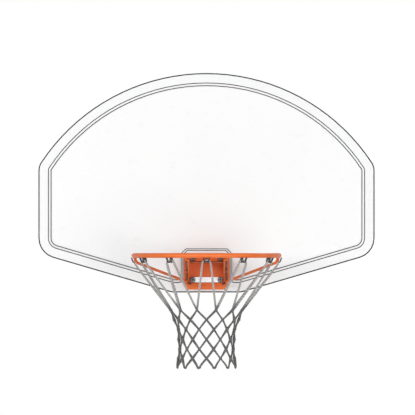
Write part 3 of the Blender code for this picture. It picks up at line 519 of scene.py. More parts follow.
def screw(name, node, shank_radius, head_height):
    """A pan-headed screw in the place of a CAD screw."""
    foot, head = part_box(node)
    place = centre_of(node)
    head_radius = (head.x - foot.x) / 2
    piece = bar(name, place, head_radius, head.y, head.y - head_height)
    round_edges(piece, head_height * HEAD_ROUND, 4, lambda ends: (
        all(p.y > head.y - MERGE_DISTANCE for p in ends)
    ))
    for long_x in (True, False):
        half_x = head_radius * (RECESS_SHARE if long_x else RECESS_WIDTH)
        half_z = head_radius * (RECESS_WIDTH if long_x else RECESS_SHARE)
        floor = head.y - head_height * RECESS_DEPTH
        corner = Vector((place[0] + half_x, head.y + head_height, place[1] + half_z))
        cut(piece, block("driver", (place[0] - half_x, floor, place[1] - half_z), corner))
    shank = bar("shank", place, shank_radius, head.y - head_height * SHANK_SINK, foot.y, 24)
    bpy.ops.object.mode_set(mode="EDIT")
    pick(shank, "FACE", lambda points: all(p.y < foot.y + MERGE_DISTANCE for p in points))
    bpy.ops.mesh.inset(thickness=shank_radius * TIP_INSET, depth=0)
    bpy.ops.transform.translate(value=(0, -MERGE_DISTANCE, 0))
    bpy.ops.object.mode_set(mode="OBJECT")
    cut(piece, shank, "UNION")
    return clean(piece, 40)


def copy_to(piece, name, offset):
    """A copy of a finished piece with its own mesh, moved by an offset."""
    mesh = piece.data.copy()
    mesh.name = name
    mesh.transform(Matrix.Translation(offset))
    other = bpy.data.objects.new(name, mesh)
    bpy.context.scene.collection.objects.link(other)
    return other


for kind, (count, radius, height) in SCREW_SIZES.items():
    first = screw(f"{kind}_head_1", f"{kind}_1", radius, height)
    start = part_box(f"{kind}_1")[0]
    for number in range(2, count + 1):
        node = f"{kind}_{number}"
        other = copy_to(first, f"{kind}_head_{number}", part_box(node)[0] - start)
        fit(other, zinc, "zinc_plate", node)
    fit(first, zinc, "zinc_plate", f"{kind}_1")

# Bracket plate: 4 mm steel, laser cut, with tight upper and wide lower corners and four holes. It
# lies on the pad of the moulding and, like all of the rim, is powder coated orange after welding.
BRACKET_TOP_CORNER = 0.006
BRACKET_FOOT_CORNER = 0.018
PAINT_EDGE = 0.0006


def painted(name, shade_mask=None):
    """Orange powder coat with a fine peel and random rubbed spots. Where the share that the second argument
    gives is 1, it is painted dark steel colour, as painted shade.
    """
    finish, surface = new_finish(name, Coat_Roughness=0.25, Specular_IOR_Level=0.3)
    cloud = surface.noise(30, 4)
    peel = surface.noise(1100, 2)
    rub = surface.noise(210, 5).within(0.60, 0.80)
    colour = cloud.mix((0.72, 0.125, 0.018), (0.86, 0.19, 0.035))
    colour = (rub * 0.22).mix(colour, (0.55, 0.16, 0.07))
    roughness = 0.40 + cloud * 0.10 + rub * 0.18
    coat = 0.12 - rub * 0.1
    # The mask paints the coat dark steel colour, as painted shade.
    if shade_mask:
        shade_share = shade_mask(surface)
        colour = shade_share.mix(colour, cloud.mix((0.018, 0.014, 0.012), (0.034, 0.026, 0.021)))
        roughness = roughness + shade_share * 0.18
        coat = coat * (1 - shade_share)
    colour.feed("Base Color")
    roughness.feed("Roughness")
    coat.feed("Coat Weight")
    (peel + cloud * 0.5).emboss(0.16, 0.0005)
    return finish


orange = painted("orange_rim")

low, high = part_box("rim_back_plate")
bracket_plate = block("bracket_plate", low, high)
for edge_z, radius in ((high.z, BRACKET_TOP_CORNER), (low.z, BRACKET_FOOT_CORNER)):
    round_edges(bracket_plate, radius, 8, lambda ends: (
        lies_along(1, ends) and all(abs(p.z - edge_z) < LEVEL_MARGIN for p in ends)
    ))
drill(bracket_plate, rim_holes, RIM_HOLE_RADIUS, high.y, low.y)
soften(bracket_plate, PAINT_EDGE)
fit(bracket_plate, orange, "orange_rim", "rim_back_plate")

# Gussets: 4 mm steel pressed to an angle, a web and a flange along the sloping edge. The rear end is
# fillet welded to the bracket plate, and the ring is welded on top of the webs. Their bends that look
# down are painted dark steel colour in ragged streaks, as painted shade.
GUSSET_WALL = 0.004
GUSSET_EDGE = 0.0005
REAR_BEAD_RADIUS = 0.0022
REAR_BEAD_SEAT = 0.0006
REAR_BEAD_TOP = 0.003
REAR_BEAD_FOOT = 0.012
RING_BEAD_RADIUS = 0.0018
RING_BEAD_RISE = 0.001
RING_BEAD_OVERHANG = 0.0004
RING_BEAD_SHARE = 0.62
BEND_SHADE_FROM = 0.0615
BEND_SHADE_RAGGED = 0.002
SHADE_BLUR = 0.0005
ROD_RADIUS = 0.00795
ring_low, ring_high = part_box("rim_ring")
RING_MIDDLE = (ring_low + ring_high) / 2
RING_RADIUS = ring_high.x - ROD_RADIUS


def off_centre(surface, ragged):
    """How far a point lies to either side of the hoop's middle, give or take a ragged edge."""
    across = surface.node("SeparateXYZ", inputs={0: surface}, output="X")
    return across.maths("ABSOLUTE", across, 0) + (surface.noise(300, 5) - 0.5) * (ragged * 2)


def facing_down(surface, start, end):
    """A share from 0 to 1, for faces that look more and more downward."""
    normal = Tone(surface.socket.node.outputs["Normal"])
    facing = normal.node("SeparateXYZ", inputs={0: normal}, output="Z")
    return (facing * -1).within(start, end)


def bend_shade(surface):
    """Painted shade in ragged streaks along the bends that look down."""
    apart = off_centre(surface, BEND_SHADE_RAGGED)
    near = apart.within(BEND_SHADE_FROM - SHADE_BLUR, BEND_SHADE_FROM + SHADE_BLUR)
    return near * facing_down(surface, 0.1, 0.3) * (1 - surface.noise(150, 6).within(0.44, 0.60) * 0.75)


# An orange coat with painted shade on the bends that look down.
orange_bend_shade = painted("orange_bend_shade", bend_shade)
for side, sign in (("left", -1), ("right", 1)):
    low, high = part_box(f"gusset_{side}")
    press = soften(copied(f"gusset_{side}", f"pressed_gusset_{side}"), GUSSET_EDGE, 40)
    press.data.materials.append(orange_bend_shade)
    outer = low.x if sign < 0 else high.x
    inner = outer - sign * GUSSET_WALL
    seams = []
    for x in (outer + sign * REAR_BEAD_SEAT, inner - sign * REAR_BEAD_SEAT):
        levels = (high.z - REAR_BEAD_TOP, low.z + REAR_BEAD_FOOT)
        seams.append(([(x, high.y - REAR_BEAD_SEAT, z) for z in levels], REAR_BEAD_RADIUS))
    web_x = (outer + inner) / 2
    reach = RING_MIDDLE.y + math.sqrt(RING_RADIUS**2 - web_x**2)
    across = (inner - sign * RING_BEAD_OVERHANG, outer + sign * RING_BEAD_OVERHANG)
    for y in (reach - ROD_RADIUS * RING_BEAD_SHARE, reach + ROD_RADIUS * RING_BEAD_SHARE):
        ends = [(x, y, high.z + RING_BEAD_RISE) for x in across]
        seams.append((ends, RING_BEAD_RADIUS))
    gusset = welded(press, seams, orange, angle=40)
    fit(gusset, orange_bend_shade, "orange_rim", f"gusset_{side}")

# Cross plate: a level steel plate that ties the two gussets together behind the ring, under the
# upper bolts. It is welded to both webs and to the bracket plate. Its two front edges are chamfered,
# and bands along the top and foot of its front face are painted dark steel colour, as painted shade.
FRONT_EDGE_CHAMFER = 0.0006
TOP_SHADE_BAND = 0.0034
FOOT_SHADE_BAND = 0.0013
SHELF_BEAD_RADIUS = 0.0018
SHELF_BEAD_SEAT = 0.0004
SHELF_BEAD_ENDS = 0.012
SHELF_BEAD_FRONT = 0.006
SHELF_BEAD_REAR = 0.008

# Dark steel colour for the painted shade on the plate's front edges.
shelf_edge_shade, surface = new_finish("shelf_edge_shade", Specular_IOR_Level=0.2)
cloud = surface.noise(260, 5)
cloud.mix((0.010, 0.008, 0.007), (0.050, 0.036, 0.028)).feed("Base Color")
(cloud * 0.3 + 0.1).feed("Metallic")
(0.62 + cloud * 0.2).feed("Roughness")
cloud.emboss(0.3, 0.0004)

low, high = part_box("cross_plate")
shelf = block("cross_shelf", low, high)
shelf.data.materials.append(orange)
shelf.data.materials.append(shelf_edge_shade)
for edge_z in (low.z, high.z):
    round_edges(shelf, FRONT_EDGE_CHAMFER, 2, lambda ends: all(
        abs(p.z - edge_z) < MERGE_DISTANCE and p.y < low.y + MERGE_DISTANCE for p in ends
    ))
# Bands along the top and foot of the front face take the dark finish, as painted shade.
shade_low, shade_high = low.z + FOOT_SHADE_BAND, high.z - TOP_SHADE_BAND
bpy.ops.object.mode_set(mode="EDIT")
for level in (shade_low, shade_high):
    bpy.ops.mesh.select_all(action="SELECT")
    bpy.ops.mesh.bisect(plane_co=(0, 0, level), plane_no=(0, 0, 1))
pick(shelf, "FACE", lambda points: max(p.y for p in points) < low.y + FRONT_EDGE_CHAMFER + MERGE_DISTANCE and (
    max(p.z for p in points) < shade_low + MERGE_DISTANCE
    or min(p.z for p in points) > shade_high - MERGE_DISTANCE
))
shelf.active_material_index = 1
bpy.ops.object.material_slot_assign()
bpy.ops.object.mode_set(mode="OBJECT")
clean(shelf)
across = (low.x + SHELF_BEAD_ENDS, high.x - SHELF_BEAD_ENDS)
seams = [([(x, high.y - SHELF_BEAD_SEAT, low.z) for x in across], SHELF_BEAD_RADIUS)]
for x in (low.x, high.x):
    ends = [(x, y, low.z) for y in (low.y + SHELF_BEAD_FRONT, high.y - SHELF_BEAD_REAR)]
    seams.append((ends, SHELF_BEAD_RADIUS))
shelf = welded(shelf, seams, orange, angle=40)
fit(shelf, orange, "orange_rim", "cross_plate")

# Strap: a zinc-plated bar with round ends under the washers of the two lower bolts, which spreads
# their load. It starts as a disc that is drawn out to both sides.
STRAP_SIDES = 48
STRAP_EDGE = 0.0006
low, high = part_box("lower_strap")
middle = centre_of("lower_strap")
half_height = (high.z - low.z) / 2
strap = bar("bolt_strap", middle, half_height, high.y, low.y, STRAP_SIDES, math.pi / STRAP_SIDES)
bpy.ops.object.mode_set(mode="EDIT")
for sign in (-1, 1):
    pick(strap, "EDGE", lambda ends: all((p.x - middle[0]) * sign > 0 for p in ends))
    bpy.ops.transform.translate(value=(sign * abs(rim_holes[0][0]), 0, 0))
bpy.ops.object.mode_set(mode="OBJECT")
drill(strap, rim_holes[2:], RIM_HOLE_RADIUS, high.y, low.y)
soften(strap, STRAP_EDGE)
fit(strap, zinc, "zinc_plate", "lower_strap")

# Rim bolts: four M8 hexagon bolts, heads inside the channels, with a plain washer and a nut in front.
# Bolts and washers are black zinc, the nuts dull zinc. The end of each bolt shows its thread.
BOLT_RADIUS = 0.004
BOLT_HEAD = 0.0053
HEAD_OVERLAP = 0.001
WASHER_EDGE = 0.0003
NUT_EDGE = 0.00025
HEX_CORNER_SHARE = 1 / math.cos(math.pi / 6)
HEX_CHAMFER_SHARE = 0.075
TURNED_SHARE = 1.003
THREAD_PITCH = 0.00125
THREAD_DEPTH = 0.00055
THREAD_LENGTH = 0.014
THREAD_STEPS = 5
END_CHAMFER = 0.0009
END_CHAMFER_SLOPE = 0.8

dark_zinc, surface = new_finish("dark_zinc", Metallic=0.7)
cloud = surface.noise(240, 4)
cloud.mix((0.025, 0.026, 0.030), (0.075, 0.075, 0.075)).feed("Base Color")
(0.36 + cloud * 0.22).feed("Roughness")
surface.noise(1500, 2).emboss(0.08, 0.0002)

dull_zinc, surface = new_finish("dull_zinc", Metallic=0.85)
cloud = surface.noise(240, 4)
cloud.mix((0.19, 0.195, 0.21), (0.36, 0.36, 0.35)).feed("Base Color")
(0.34 + cloud * 0.2).feed("Roughness")
surface.noise(1500, 2).emboss(0.08, 0.0002)


def hexagon(name, place, across, rear, front, chamfers):
    """A hexagon prism with level flats, its corners turned down at the chosen ends."""
    corner = across / 2 * HEX_CORNER_SHARE
    piece = bar(name, place, corner, rear, front, 6, math.pi / 6)
    turned = bar("turned", place, corner * TURNED_SHARE, rear, front, 48)
    round_edges(turned, across * HEX_CHAMFER_SHARE, 1, lambda ends: any(
        all(abs(p.y - depth) < MERGE_DISTANCE for p in ends) for depth in chamfers
    ))
    return cut(piece, turned, "INTERSECT")


def threaded_bar(name, place, radius, rear, front):
    """A bolt's shank, its front end cut with a thread and chamfered."""
    piece = bar(name, place, radius, rear, front, 24)
    rings = round(THREAD_LENGTH / THREAD_PITCH * THREAD_STEPS)
    bpy.ops.object.mode_set(mode="EDIT")
    for ring in range(1, rings + 1):
        bpy.ops.mesh.select_all(action="SELECT")
        level = front + ring * THREAD_PITCH / THREAD_STEPS
        bpy.ops.mesh.bisect(plane_co=(place[0], level, place[1]), plane_no=(0, 1, 0))
    bpy.ops.object.mode_set(mode="OBJECT")
    bpy.ops.object.transform_apply(location=True, rotation=True, scale=True)
    for vert in piece.data.vertices:
        across, up = vert.co.x - place[0], vert.co.z - place[1]
        depth = vert.co.y - front
        if depth > THREAD_LENGTH - MERGE_DISTANCE:
            continue
        turn = (depth / THREAD_PITCH - math.atan2(up, across) / (2 * math.pi)) % 1
        drop = THREAD_DEPTH * (1 - abs(2 * turn - 1))
        drop = max(drop, END_CHAMFER - depth * END_CHAMFER_SLOPE)
        share = 1 - drop / math.hypot(across, up)
        vert.co.x = place[0] + across * share
        vert.co.z = place[1] + up * share
    return piece


for number in range(1, 5):
    place = rim_holes[number - 1]
    low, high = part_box(f"rim_bolt_{number}")
    head_front = high.y - BOLT_HEAD
    across = high.z - low.z
    bolt = hexagon(f"bolt_{number}", place, across, high.y, head_front, [high.y])
    shank = threaded_bar("shank", place, BOLT_RADIUS, head_front + HEAD_OVERLAP, low.y)
    cut(bolt, shank, "UNION")
    clean(bolt, 30)
    fit(bolt, dark_zinc, "zinc_plate", f"rim_bolt_{number}")

    low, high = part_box(f"rim_washer_{number}")
    washer = bar(f"washer_{number}", place, (high.x - low.x) / 2, high.y, low.y, 48)
    drill(washer, [place], RIM_HOLE_RADIUS, high.y, low.y)
    soften(washer, WASHER_EDGE)
    fit(washer, dark_zinc, "zinc_plate", f"rim_washer_{number}")

    low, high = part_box(f"rim_nut_{number}")
    nut = hexagon(f"nut_{number}", place, across, high.y, low.y, [high.y, low.y])
    drill(nut, [place], RIM_HOLE_RADIUS, high.y, low.y)
    soften(nut, NUT_EDGE, 40)
    fit(nut, dull_zinc, "zinc_plate", f"rim_nut_{number}")

# Ring: five-eighths inch round steel rod rolled to a hoop of eighteen inches inside, its ends butt
# welded at the rear, where a low bead shows.
SEAM_RADIUS = 0.0015
SEAM_RIPPLE = 0.0030
SEAM_SINK = 0.0006
SEAM_SWEEP = math.radians(352)
SEAM_STEPS = 24

bpy.ops.object.select_all(action="DESELECT")
bpy.ops.mesh.primitive_torus_add(
    major_radius=RING_RADIUS, minor_radius=ROD_RADIUS, major_segments=216, minor_segments=28,
    location=RING_MIDDLE,
)
ring = named("ring")
seam = []
for i in range(SEAM_STEPS + 1):
    turn = SEAM_SWEEP * i / SEAM_STEPS
    out = math.cos(turn) * (ROD_RADIUS - SEAM_SINK)
    up = math.sin(turn) * (ROD_RADIUS - SEAM_SINK)
    seam.append(RING_MIDDLE + Vector((0, RING_RADIUS + out, up)))
ring = welded(ring, [(seam, SEAM_RADIUS)], ripple=SEAM_RIPPLE, angle=60)
fit(ring, orange, "orange_rim", "rim_ring")

# Brace: one bent steel rod under the ring. Its tips are welded beneath the ring's sides and its
# level middle lies across the bracket plate, so the ring can't dip when someone hangs on it. The
# faces that look down under both bends are painted dark steel colour, as painted shade.
BRACE_RADIUS = 0.00475
BRACE_RING_ANGLE = math.radians(101)
BRACE_TIP_SHARE = 0.2
BRACE_KNEE_FALL = 0.0105
BRACE_KNEE_LENGTH = 0.016
BRACE_KNEE_RADIUS = 0.008
BRACE_CORNER_RADIUS = 0.014
BRACE_CORNER_X = 0.046
TIP_BEAD_RADIUS = 0.0018
TIP_BEAD_SPAN = (-0.009, 0.007)
TIP_BEAD_OUT = 0.0035
TIP_BEAD_DROP = 0.0012
BAR_BEAD_RADIUS = 0.0016
BAR_BEAD_SPAN = (0.034, 0.012)
BAR_BEAD_RISE = 0.0035
UNDER_SHADE_NEAR = 0.051
UNDER_SHADE_FAR = 0.0635
UNDER_SHADE_RAGGED = 0.004
WELD_SEAT = 0.0003


def around(along, out, up, angle):
    """The point this far along the ring, outward and up from its plane, at an angle from the rear."""
    reach = RING_RADIUS + out
    x = reach * math.sin(angle) + along * math.cos(angle)
    y = reach * math.cos(angle) - along * math.sin(angle)
    return RING_MIDDLE + Vector((x, y, up))


def bend(before, corner, after, radius, steps):
    """Points of a round bend at a corner."""
    to_before = (before - corner).normalized()
    to_after = (after - corner).normalized()
    half = to_before.angle(to_after) / 2
    centre = corner + (to_before + to_after).normalized() * radius / math.sin(half)
    start = corner + to_before * radius / math.tan(half) - centre
    end = corner + to_after * radius / math.tan(half) - centre
    sweep = start.angle(end)
    points = []
    for i in range(steps + 1):
        share = i / steps
        turned = start * math.sin((1 - share) * sweep) + end * math.sin(share * sweep)
        points.append(centre + turned / math.sin(sweep))
    return points


def under_bend_shade(surface):
    """Painted shade on the faces that look down under the bends, with a ragged edge."""
    apart = off_centre(surface, UNDER_SHADE_RAGGED)
    near = apart.within(UNDER_SHADE_NEAR - SHADE_BLUR, UNDER_SHADE_NEAR + SHADE_BLUR)
    far = apart.within(UNDER_SHADE_FAR - SHADE_BLUR, UNDER_SHADE_FAR + SHADE_BLUR)
    return near * (1 - far) * facing_down(surface, -0.1, 0.1)


low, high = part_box("brace_rod")
corner = Vector((BRACE_CORNER_X, high.y - BRACE_RADIUS, low.z + BRACE_RADIUS))
tip = around(0, 0, -ROD_RADIUS - WELD_SEAT - BRACE_RADIUS, BRACE_RING_ANGLE)
back = corner - tip
knee = tip + back * BRACE_KNEE_LENGTH / math.hypot(back.x, back.y)
knee.z = tip.z - BRACE_KNEE_FALL
flip = Vector((-1, 1, 1))
half = [tip, tip.lerp(knee, BRACE_TIP_SHARE)]
half += bend(tip, knee, corner, BRACE_KNEE_RADIUS, 10)
half += bend(knee, corner, corner * flip, BRACE_CORNER_RADIUS, 14)
brace = run("brace", half + [point * flip for point in reversed(half)], BRACE_RADIUS, 8)
seams = []
for sign in (-1, 1):
    for out in (-TIP_BEAD_OUT, TIP_BEAD_OUT):
        ends = []
        for along in TIP_BEAD_SPAN:
            point = around(along, out, -ROD_RADIUS - TIP_BEAD_DROP, BRACE_RING_ANGLE)
            ends.append(Vector((sign * point.x, point.y, point.z)))
        seams.append((ends, TIP_BEAD_RADIUS))
    ends = [(sign * x, high.y, corner.z + BAR_BEAD_RISE) for x in BAR_BEAD_SPAN]
    seams.append((ends, BAR_BEAD_RADIUS))
brace = welded(brace, seams, angle=50)
# The brace's coat has painted shade under both bends.
fit(brace, painted("orange_under_bend_shade", under_bend_shade), "orange_rim", "brace_rod")

# Net hooks: twelve lengths of 4 mm black-oxide spring wire, each bent like a W. The middle is welded
# under the ring and the two horns lean out past it, so that a loop of the net slips over them.
HOOK_COUNT = 12
WIRE_RADIUS = 0.002
HOOK_DROP = ROD_RADIUS + 0.0142
HORN_ALONG = 0.0095
HORN_OUT = 0.00025
HORN_UP = 0.00095
OUTER_CORNER = (0.0062, 0.0026)
INNER_CORNER = (0.0045, -0.0082)
TROUGH_RADIUS = 0.0046
SADDLE_RADIUS = 0.0028
SADDLE_INSET = 0.006
SADDLE_DEGREES = 60
SADDLE_STEPS = 6
HOOK_BEAD_RADIUS = 0.0018
HOOK_BEAD_REACH = 0.0034
HOOK_BEAD_OUT = -0.0050
HOOK_BEAD_UP = -0.0071

black_wire, surface = new_finish("black_wire", Metallic=0.75)
cloud = surface.noise(320, 4)
cloud.mix((0.030, 0.030, 0.033), (0.085, 0.083, 0.082)).feed("Base Color")
(0.38 + cloud * 0.25).feed("Roughness")
surface.noise(1800, 2).emboss(0.1, 0.0002)

seat = ROD_RADIUS + WELD_SEAT + WIRE_RADIUS
saddle_up = -math.sqrt(seat**2 - SADDLE_INSET**2) - SADDLE_RADIUS
saddle = []
for i in range(SADDLE_STEPS + 1):
    turn = math.radians(90 - SADDLE_DEGREES * (1 - i / SADDLE_STEPS))
    up = saddle_up + SADDLE_RADIUS * math.sin(turn)
    saddle.append(Vector((SADDLE_RADIUS * math.cos(turn), -SADDLE_INSET, up)))
horn = Vector((HORN_ALONG, ROD_RADIUS + HORN_OUT, HORN_UP - ROD_RADIUS))
outer = Vector((*OUTER_CORNER, -HOOK_DROP))
inner = Vector((*INNER_CORNER, -HOOK_DROP))
half = [horn]
half += bend(horn, outer, inner, TROUGH_RADIUS, 8)
half += bend(outer, inner, saddle[0], TROUGH_RADIUS, 8)
half += saddle
whole = half + [point * flip for point in reversed(half[:-1])]
wire = run("hook_01", [around(*point, 0) for point in whole], WIRE_RADIUS, 5)
seam = [around(x, HOOK_BEAD_OUT, HOOK_BEAD_UP, 0) for x in (-HOOK_BEAD_REACH, HOOK_BEAD_REACH)]
hook = welded(wire, [(seam, HOOK_BEAD_RADIUS)], angle=50)
for number in range(1, HOOK_COUNT):
    other = copy_to(hook, f"hook_{number + 1:02d}", (0, 0, 0))
    centre = Matrix.Translation(RING_MIDDLE)
    turn = Matrix.Rotation(-2 * math.pi * number / HOOK_COUNT, 4, "Z")
    other.data.transform(centre @ turn @ centre.inverted())
    fit(other, black_wire, "black_wire", f"net_hook_{number + 1:02d}")
fit(hook, black_wire, "black_wire", "net_hook_01")

# Net: one long cord of three twisted nylon strands, looped over the hooks, crossed six times on its
# way down and tied with two turns of thinner cord at each crossing. It ends in twelve open loops.
CORD_RADIUS = 0.0036
CORD_DEPTHS = (0.004, 0.018, 0.138, 0.154)
CORD_SHARES = (0.75, 1.0, 1.0, 0.86)
CORD_LAY = 0.020
CORD_STEP = 0.00165
TURN_REACH = 0.006
LINE_STEP = 0.001
LINE_STEPS_LEAST = 8
CORD_SHAPE = (1.0, 0.86, 0.58, 0.86)
CROSSING_OFFSET = 0.0023
LOOP_RADIUS = 0.014
LOOP_RISE = 0.0072
LOOP_INSET = 0.0017
LOOP_SWEEP = math.radians(75)
LOOP_STEPS = 12
LAP_SHIFT = 7
ROW_DROPS = (0.1554, 0.1873, 0.2189, 0.2518, 0.2834, 0.3137)
ROW_INSETS = (0.1160, 0.1314, 0.1420, 0.1466, 0.1464, 0.1454)
HEM_DROP = 0.3443
HEM_INSET = 0.1388
HEM_RADIUS = 0.0055
HEM_STEPS = 4
TIE_RADIUS = 0.0011
TIE_OUT = 0.0050
TIE_ALONG = 0.0039
TIE_TURNS = 2
TIE_STEPS = 26
TIE_SIDES = 6
# Depths given to the ties' points only to set their painted shade.
TIE_PALE_DEPTH = 0.95
TIE_SHADE_DEPTH = 0.8
DARK_BELOW_DROP = 0.178
PALE_ABOVE_DROP = 0.142

pitch = 2 * math.pi / HOOK_COUNT
control = []
for lap in range(HOOK_COUNT):
    middle = lap * LAP_SHIFT % HOOK_COUNT * pitch
    down = []
    for row, (drop, inset) in enumerate(zip(ROW_DROPS, ROW_INSETS)):
        lift = CROSSING_OFFSET if row % 2 == 0 else -CROSSING_OFFSET
        down.append(((row + 1) / 2 * pitch, 0, -inset + lift, -inset - lift, -HOOK_DROP - drop))
    hem = []
    for i in range(HEM_STEPS + 1):
        turn = math.pi + math.pi / 2 * i / HEM_STEPS
        x = HEM_RADIUS * math.cos(turn)
        z = -HOOK_DROP - HEM_DROP + HEM_RADIUS * (1 + math.sin(turn))
        hem.append((LAP_SHIFT / 2 * pitch, x, -HEM_INSET, -HEM_INSET, z))
    arch = []
    for i in range(LOOP_STEPS + 1):
        turn = math.pi / 2 + LOOP_SWEEP * (1 - 2 * i / LOOP_STEPS)
        x = LOOP_RADIUS * math.cos(turn)
        z = LOOP_RISE - LOOP_RADIUS + LOOP_RADIUS * math.sin(turn)
        arch.append((0, x, -LOOP_INSET, -LOOP_INSET, z - HOOK_DROP))
    for angle, along, down_out, up_out, z in reversed(hem):
        control.append(around(-along, up_out, z, middle - angle))
    for angle, along, down_out, up_out, z in reversed(down):
        control.append(around(-along, up_out, z, middle - angle))
    for angle, along, down_out, up_out, z in arch:
        control.append(around(along, down_out, z, middle + angle))
    for angle, along, down_out, up_out, z in down:
        control.append(around(along, down_out, z, middle + angle))
    for angle, along, down_out, up_out, z in hem[:-1]:
        control.append(around(along, down_out, z, middle + angle))


def smooth_closed(points):
    """A closed line through all the points, straight between them but for a soft turn at each."""
    before, after = np.roll(points, 1, axis=0), np.roll(points, -1, axis=0)
    gap_in = np.linalg.norm(points - before, axis=1)[:, None]
    gap_out = np.linalg.norm(after - points, axis=1)[:, None]
    heading = (points - before) / gap_in + (after - points) / gap_out
    heading /= np.linalg.norm(heading, axis=1)[:, None]
    line = []
    for i in range(len(points)):
        j = (i + 1) % len(points)
        reach = min(gap_out[i, 0] / 3, TURN_REACH)
        first, second = points[i] + heading[i] * reach, points[j] - heading[j] * reach
        count = max(LINE_STEPS_LEAST, round(gap_out[i, 0] / LINE_STEP))
        for k in range(count):
            t = k / count
            line.append(
                (1 - t) ** 3 * points[i] + 3 * (1 - t) ** 2 * t * first
                + 3 * (1 - t) * t * t * second + t**3 * points[j]
            )
    return np.array(line)


def evenly(line, step):
    """The same closed line in equal steps."""
    closed = np.vstack([line, line[:1]])
    lengths = np.concatenate([[0], np.cumsum(np.linalg.norm(np.diff(closed, axis=0), axis=1))])
    count = round(lengths[-1] / step)
    wanted = np.linspace(0, lengths[-1], count, endpoint=False)
    return np.stack([np.interp(wanted, lengths, closed[:, axis]) for axis in range(3)], axis=1), lengths[-1]


points = np.array([tuple(point) for point in control])
line, cord_length = evenly(smooth_closed(points), CORD_STEP)
count = len(line)
tangents = np.roll(line, -1, axis=0) - np.roll(line, 1, axis=0)
tangents /= np.linalg.norm(tangents, axis=1)[:, None]
across = Vector((0, 0, 1)).cross(Vector(tangents[0])).normalized()
sideways = [across]
for i in range(1, count + 1):
    turn = Vector(tangents[i - 1]).rotation_difference(Vector(tangents[i % count]))
    sideways.append((turn @ sideways[-1]).normalized())
last = sideways.pop()
mismatch = math.atan2(last.cross(sideways[0]).dot(Vector(tangents[0])), last.dot(sideways[0]))
turns = round(cord_length / CORD_LAY)
cord_sides = 3 * len(CORD_SHAPE)
mesh_points, strand_depth = [], []
for i in range(count):
    twist = (2 * math.pi * turns + mismatch) * i / count
    tangent, side = Vector(tangents[i]), sideways[i]
    up = tangent.cross(side)
    fall = RING_MIDDLE.z - HOOK_DROP - line[i][2]
    radius = CORD_RADIUS * np.interp(fall, CORD_DEPTHS, CORD_SHARES)
    for j in range(cord_sides):
        angle = twist + 2 * math.pi * j / cord_sides
        shape = CORD_SHAPE[j % len(CORD_SHAPE)]
        offset = (side * math.cos(angle) + up * math.sin(angle)) * radius * shape
        mesh_points.append(Vector(line[i]) + offset)
        # Each point's depth in the cord also sets its painted shade.
        strand_depth.append(shape)
faces = []
for i in range(count):
    for j in range(cord_sides):
        a, b = i * cord_sides + j, i * cord_sides + (j + 1) % cord_sides
        c, d = (i + 1) % count * cord_sides + (j + 1) % cord_sides, (i + 1) % count * cord_sides + j
        faces.append((a, b, c, d))

for row, (drop, inset) in enumerate(zip(ROW_DROPS, ROW_INSETS)):
    for number in range(HOOK_COUNT):
        angle = (number + (0.5 if row % 2 == 0 else 0)) * pitch
        first = len(mesh_points)
        for i in range(TIE_STEPS + 1):
            share = i / TIE_STEPS
            turn = 2 * math.pi * TIE_TURNS * share
            out, along = TIE_OUT * math.cos(turn), TIE_ALONG * math.sin(turn)
            rise = (share - 0.5) * TIE_TURNS * 2.0 * TIE_RADIUS
            middle = around(along, out - inset, rise - HOOK_DROP - drop, angle)
            heart = around(0, -inset, rise - HOOK_DROP - drop, angle)
            outward = (middle - heart).normalized()
            for j in range(TIE_SIDES):
                around_tie = 2 * math.pi * j / TIE_SIDES
                offset = outward * math.cos(around_tie) + Vector((0, 0, 1)) * math.sin(around_tie)
                mesh_points.append(middle + offset * TIE_RADIUS)
                # The tie's outward side stays pale and its other sides are painted dark, as painted shade.
                strand_depth.append(TIE_SHADE_DEPTH if j else TIE_PALE_DEPTH)
        for i in range(TIE_STEPS):
            for j in range(TIE_SIDES):
                k = (j + 1) % TIE_SIDES
                a, b = first + i * TIE_SIDES + j, first + i * TIE_SIDES + k
                faces.append((a, b, b + TIE_SIDES, a + TIE_SIDES))
        faces.append(tuple(first + j for j in range(TIE_SIDES)))
        end = first + TIE_STEPS * TIE_SIDES
        faces.append(tuple(end + j for j in reversed(range(TIE_SIDES))))

net_mesh = bpy.data.meshes.new("knotted_net")
net_mesh.from_pydata([tuple(point) for point in mesh_points], [], faces)
net_mesh.update()
layer = net_mesh.attributes.new("strand_depth", "FLOAT", "POINT")
layer.data.foreach_set("value", np.array(strand_depth, dtype=np.float32))
knotted_net = bpy.data.objects.new("knotted_net", net_mesh)
bpy.context.scene.collection.objects.link(knotted_net)
clean(knotted_net, 75)

cord_white, surface = new_finish(
    "white_cord", Sheen_Weight=0.25, Sheen_Roughness=0.5, Specular_IOR_Level=0.3,
)
# Points deep between the strands are painted dark, as painted shade; the crests stay pale.
depth = surface.node("Attribute", {"attribute_name": "strand_depth"}, output="Fac")
crest = depth.within(0.78, 1.0)
fluff = surface.noise(1600, 3)
# The cord's colour and its crease shade grow darker towards the bottom of the net, in soft random patches.
height = surface.node("SeparateXYZ", inputs={0: surface}, output="Z")
paleness = height.within(RING_MIDDLE.z - DARK_BELOW_DROP, RING_MIDDLE.z - PALE_ABOVE_DROP)
paleness = paleness * 0.7 + surface.noise(40, 4) * 0.3
colour = paleness.mix((0.18, 0.176, 0.17), (0.88, 0.87, 0.85))
crease_shade = paleness.mix((0.025, 0.025, 0.027), (0.21, 0.21, 0.205))
crest.mix(crease_shade, colour).feed("Base Color")
(0.78 + fluff * 0.15).feed("Roughness")
(fluff + crest * 0.5).emboss(0.35, 0.0004)
knotted_net.data.materials.append(cord_white)
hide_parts("net")
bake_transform(knotted_net)

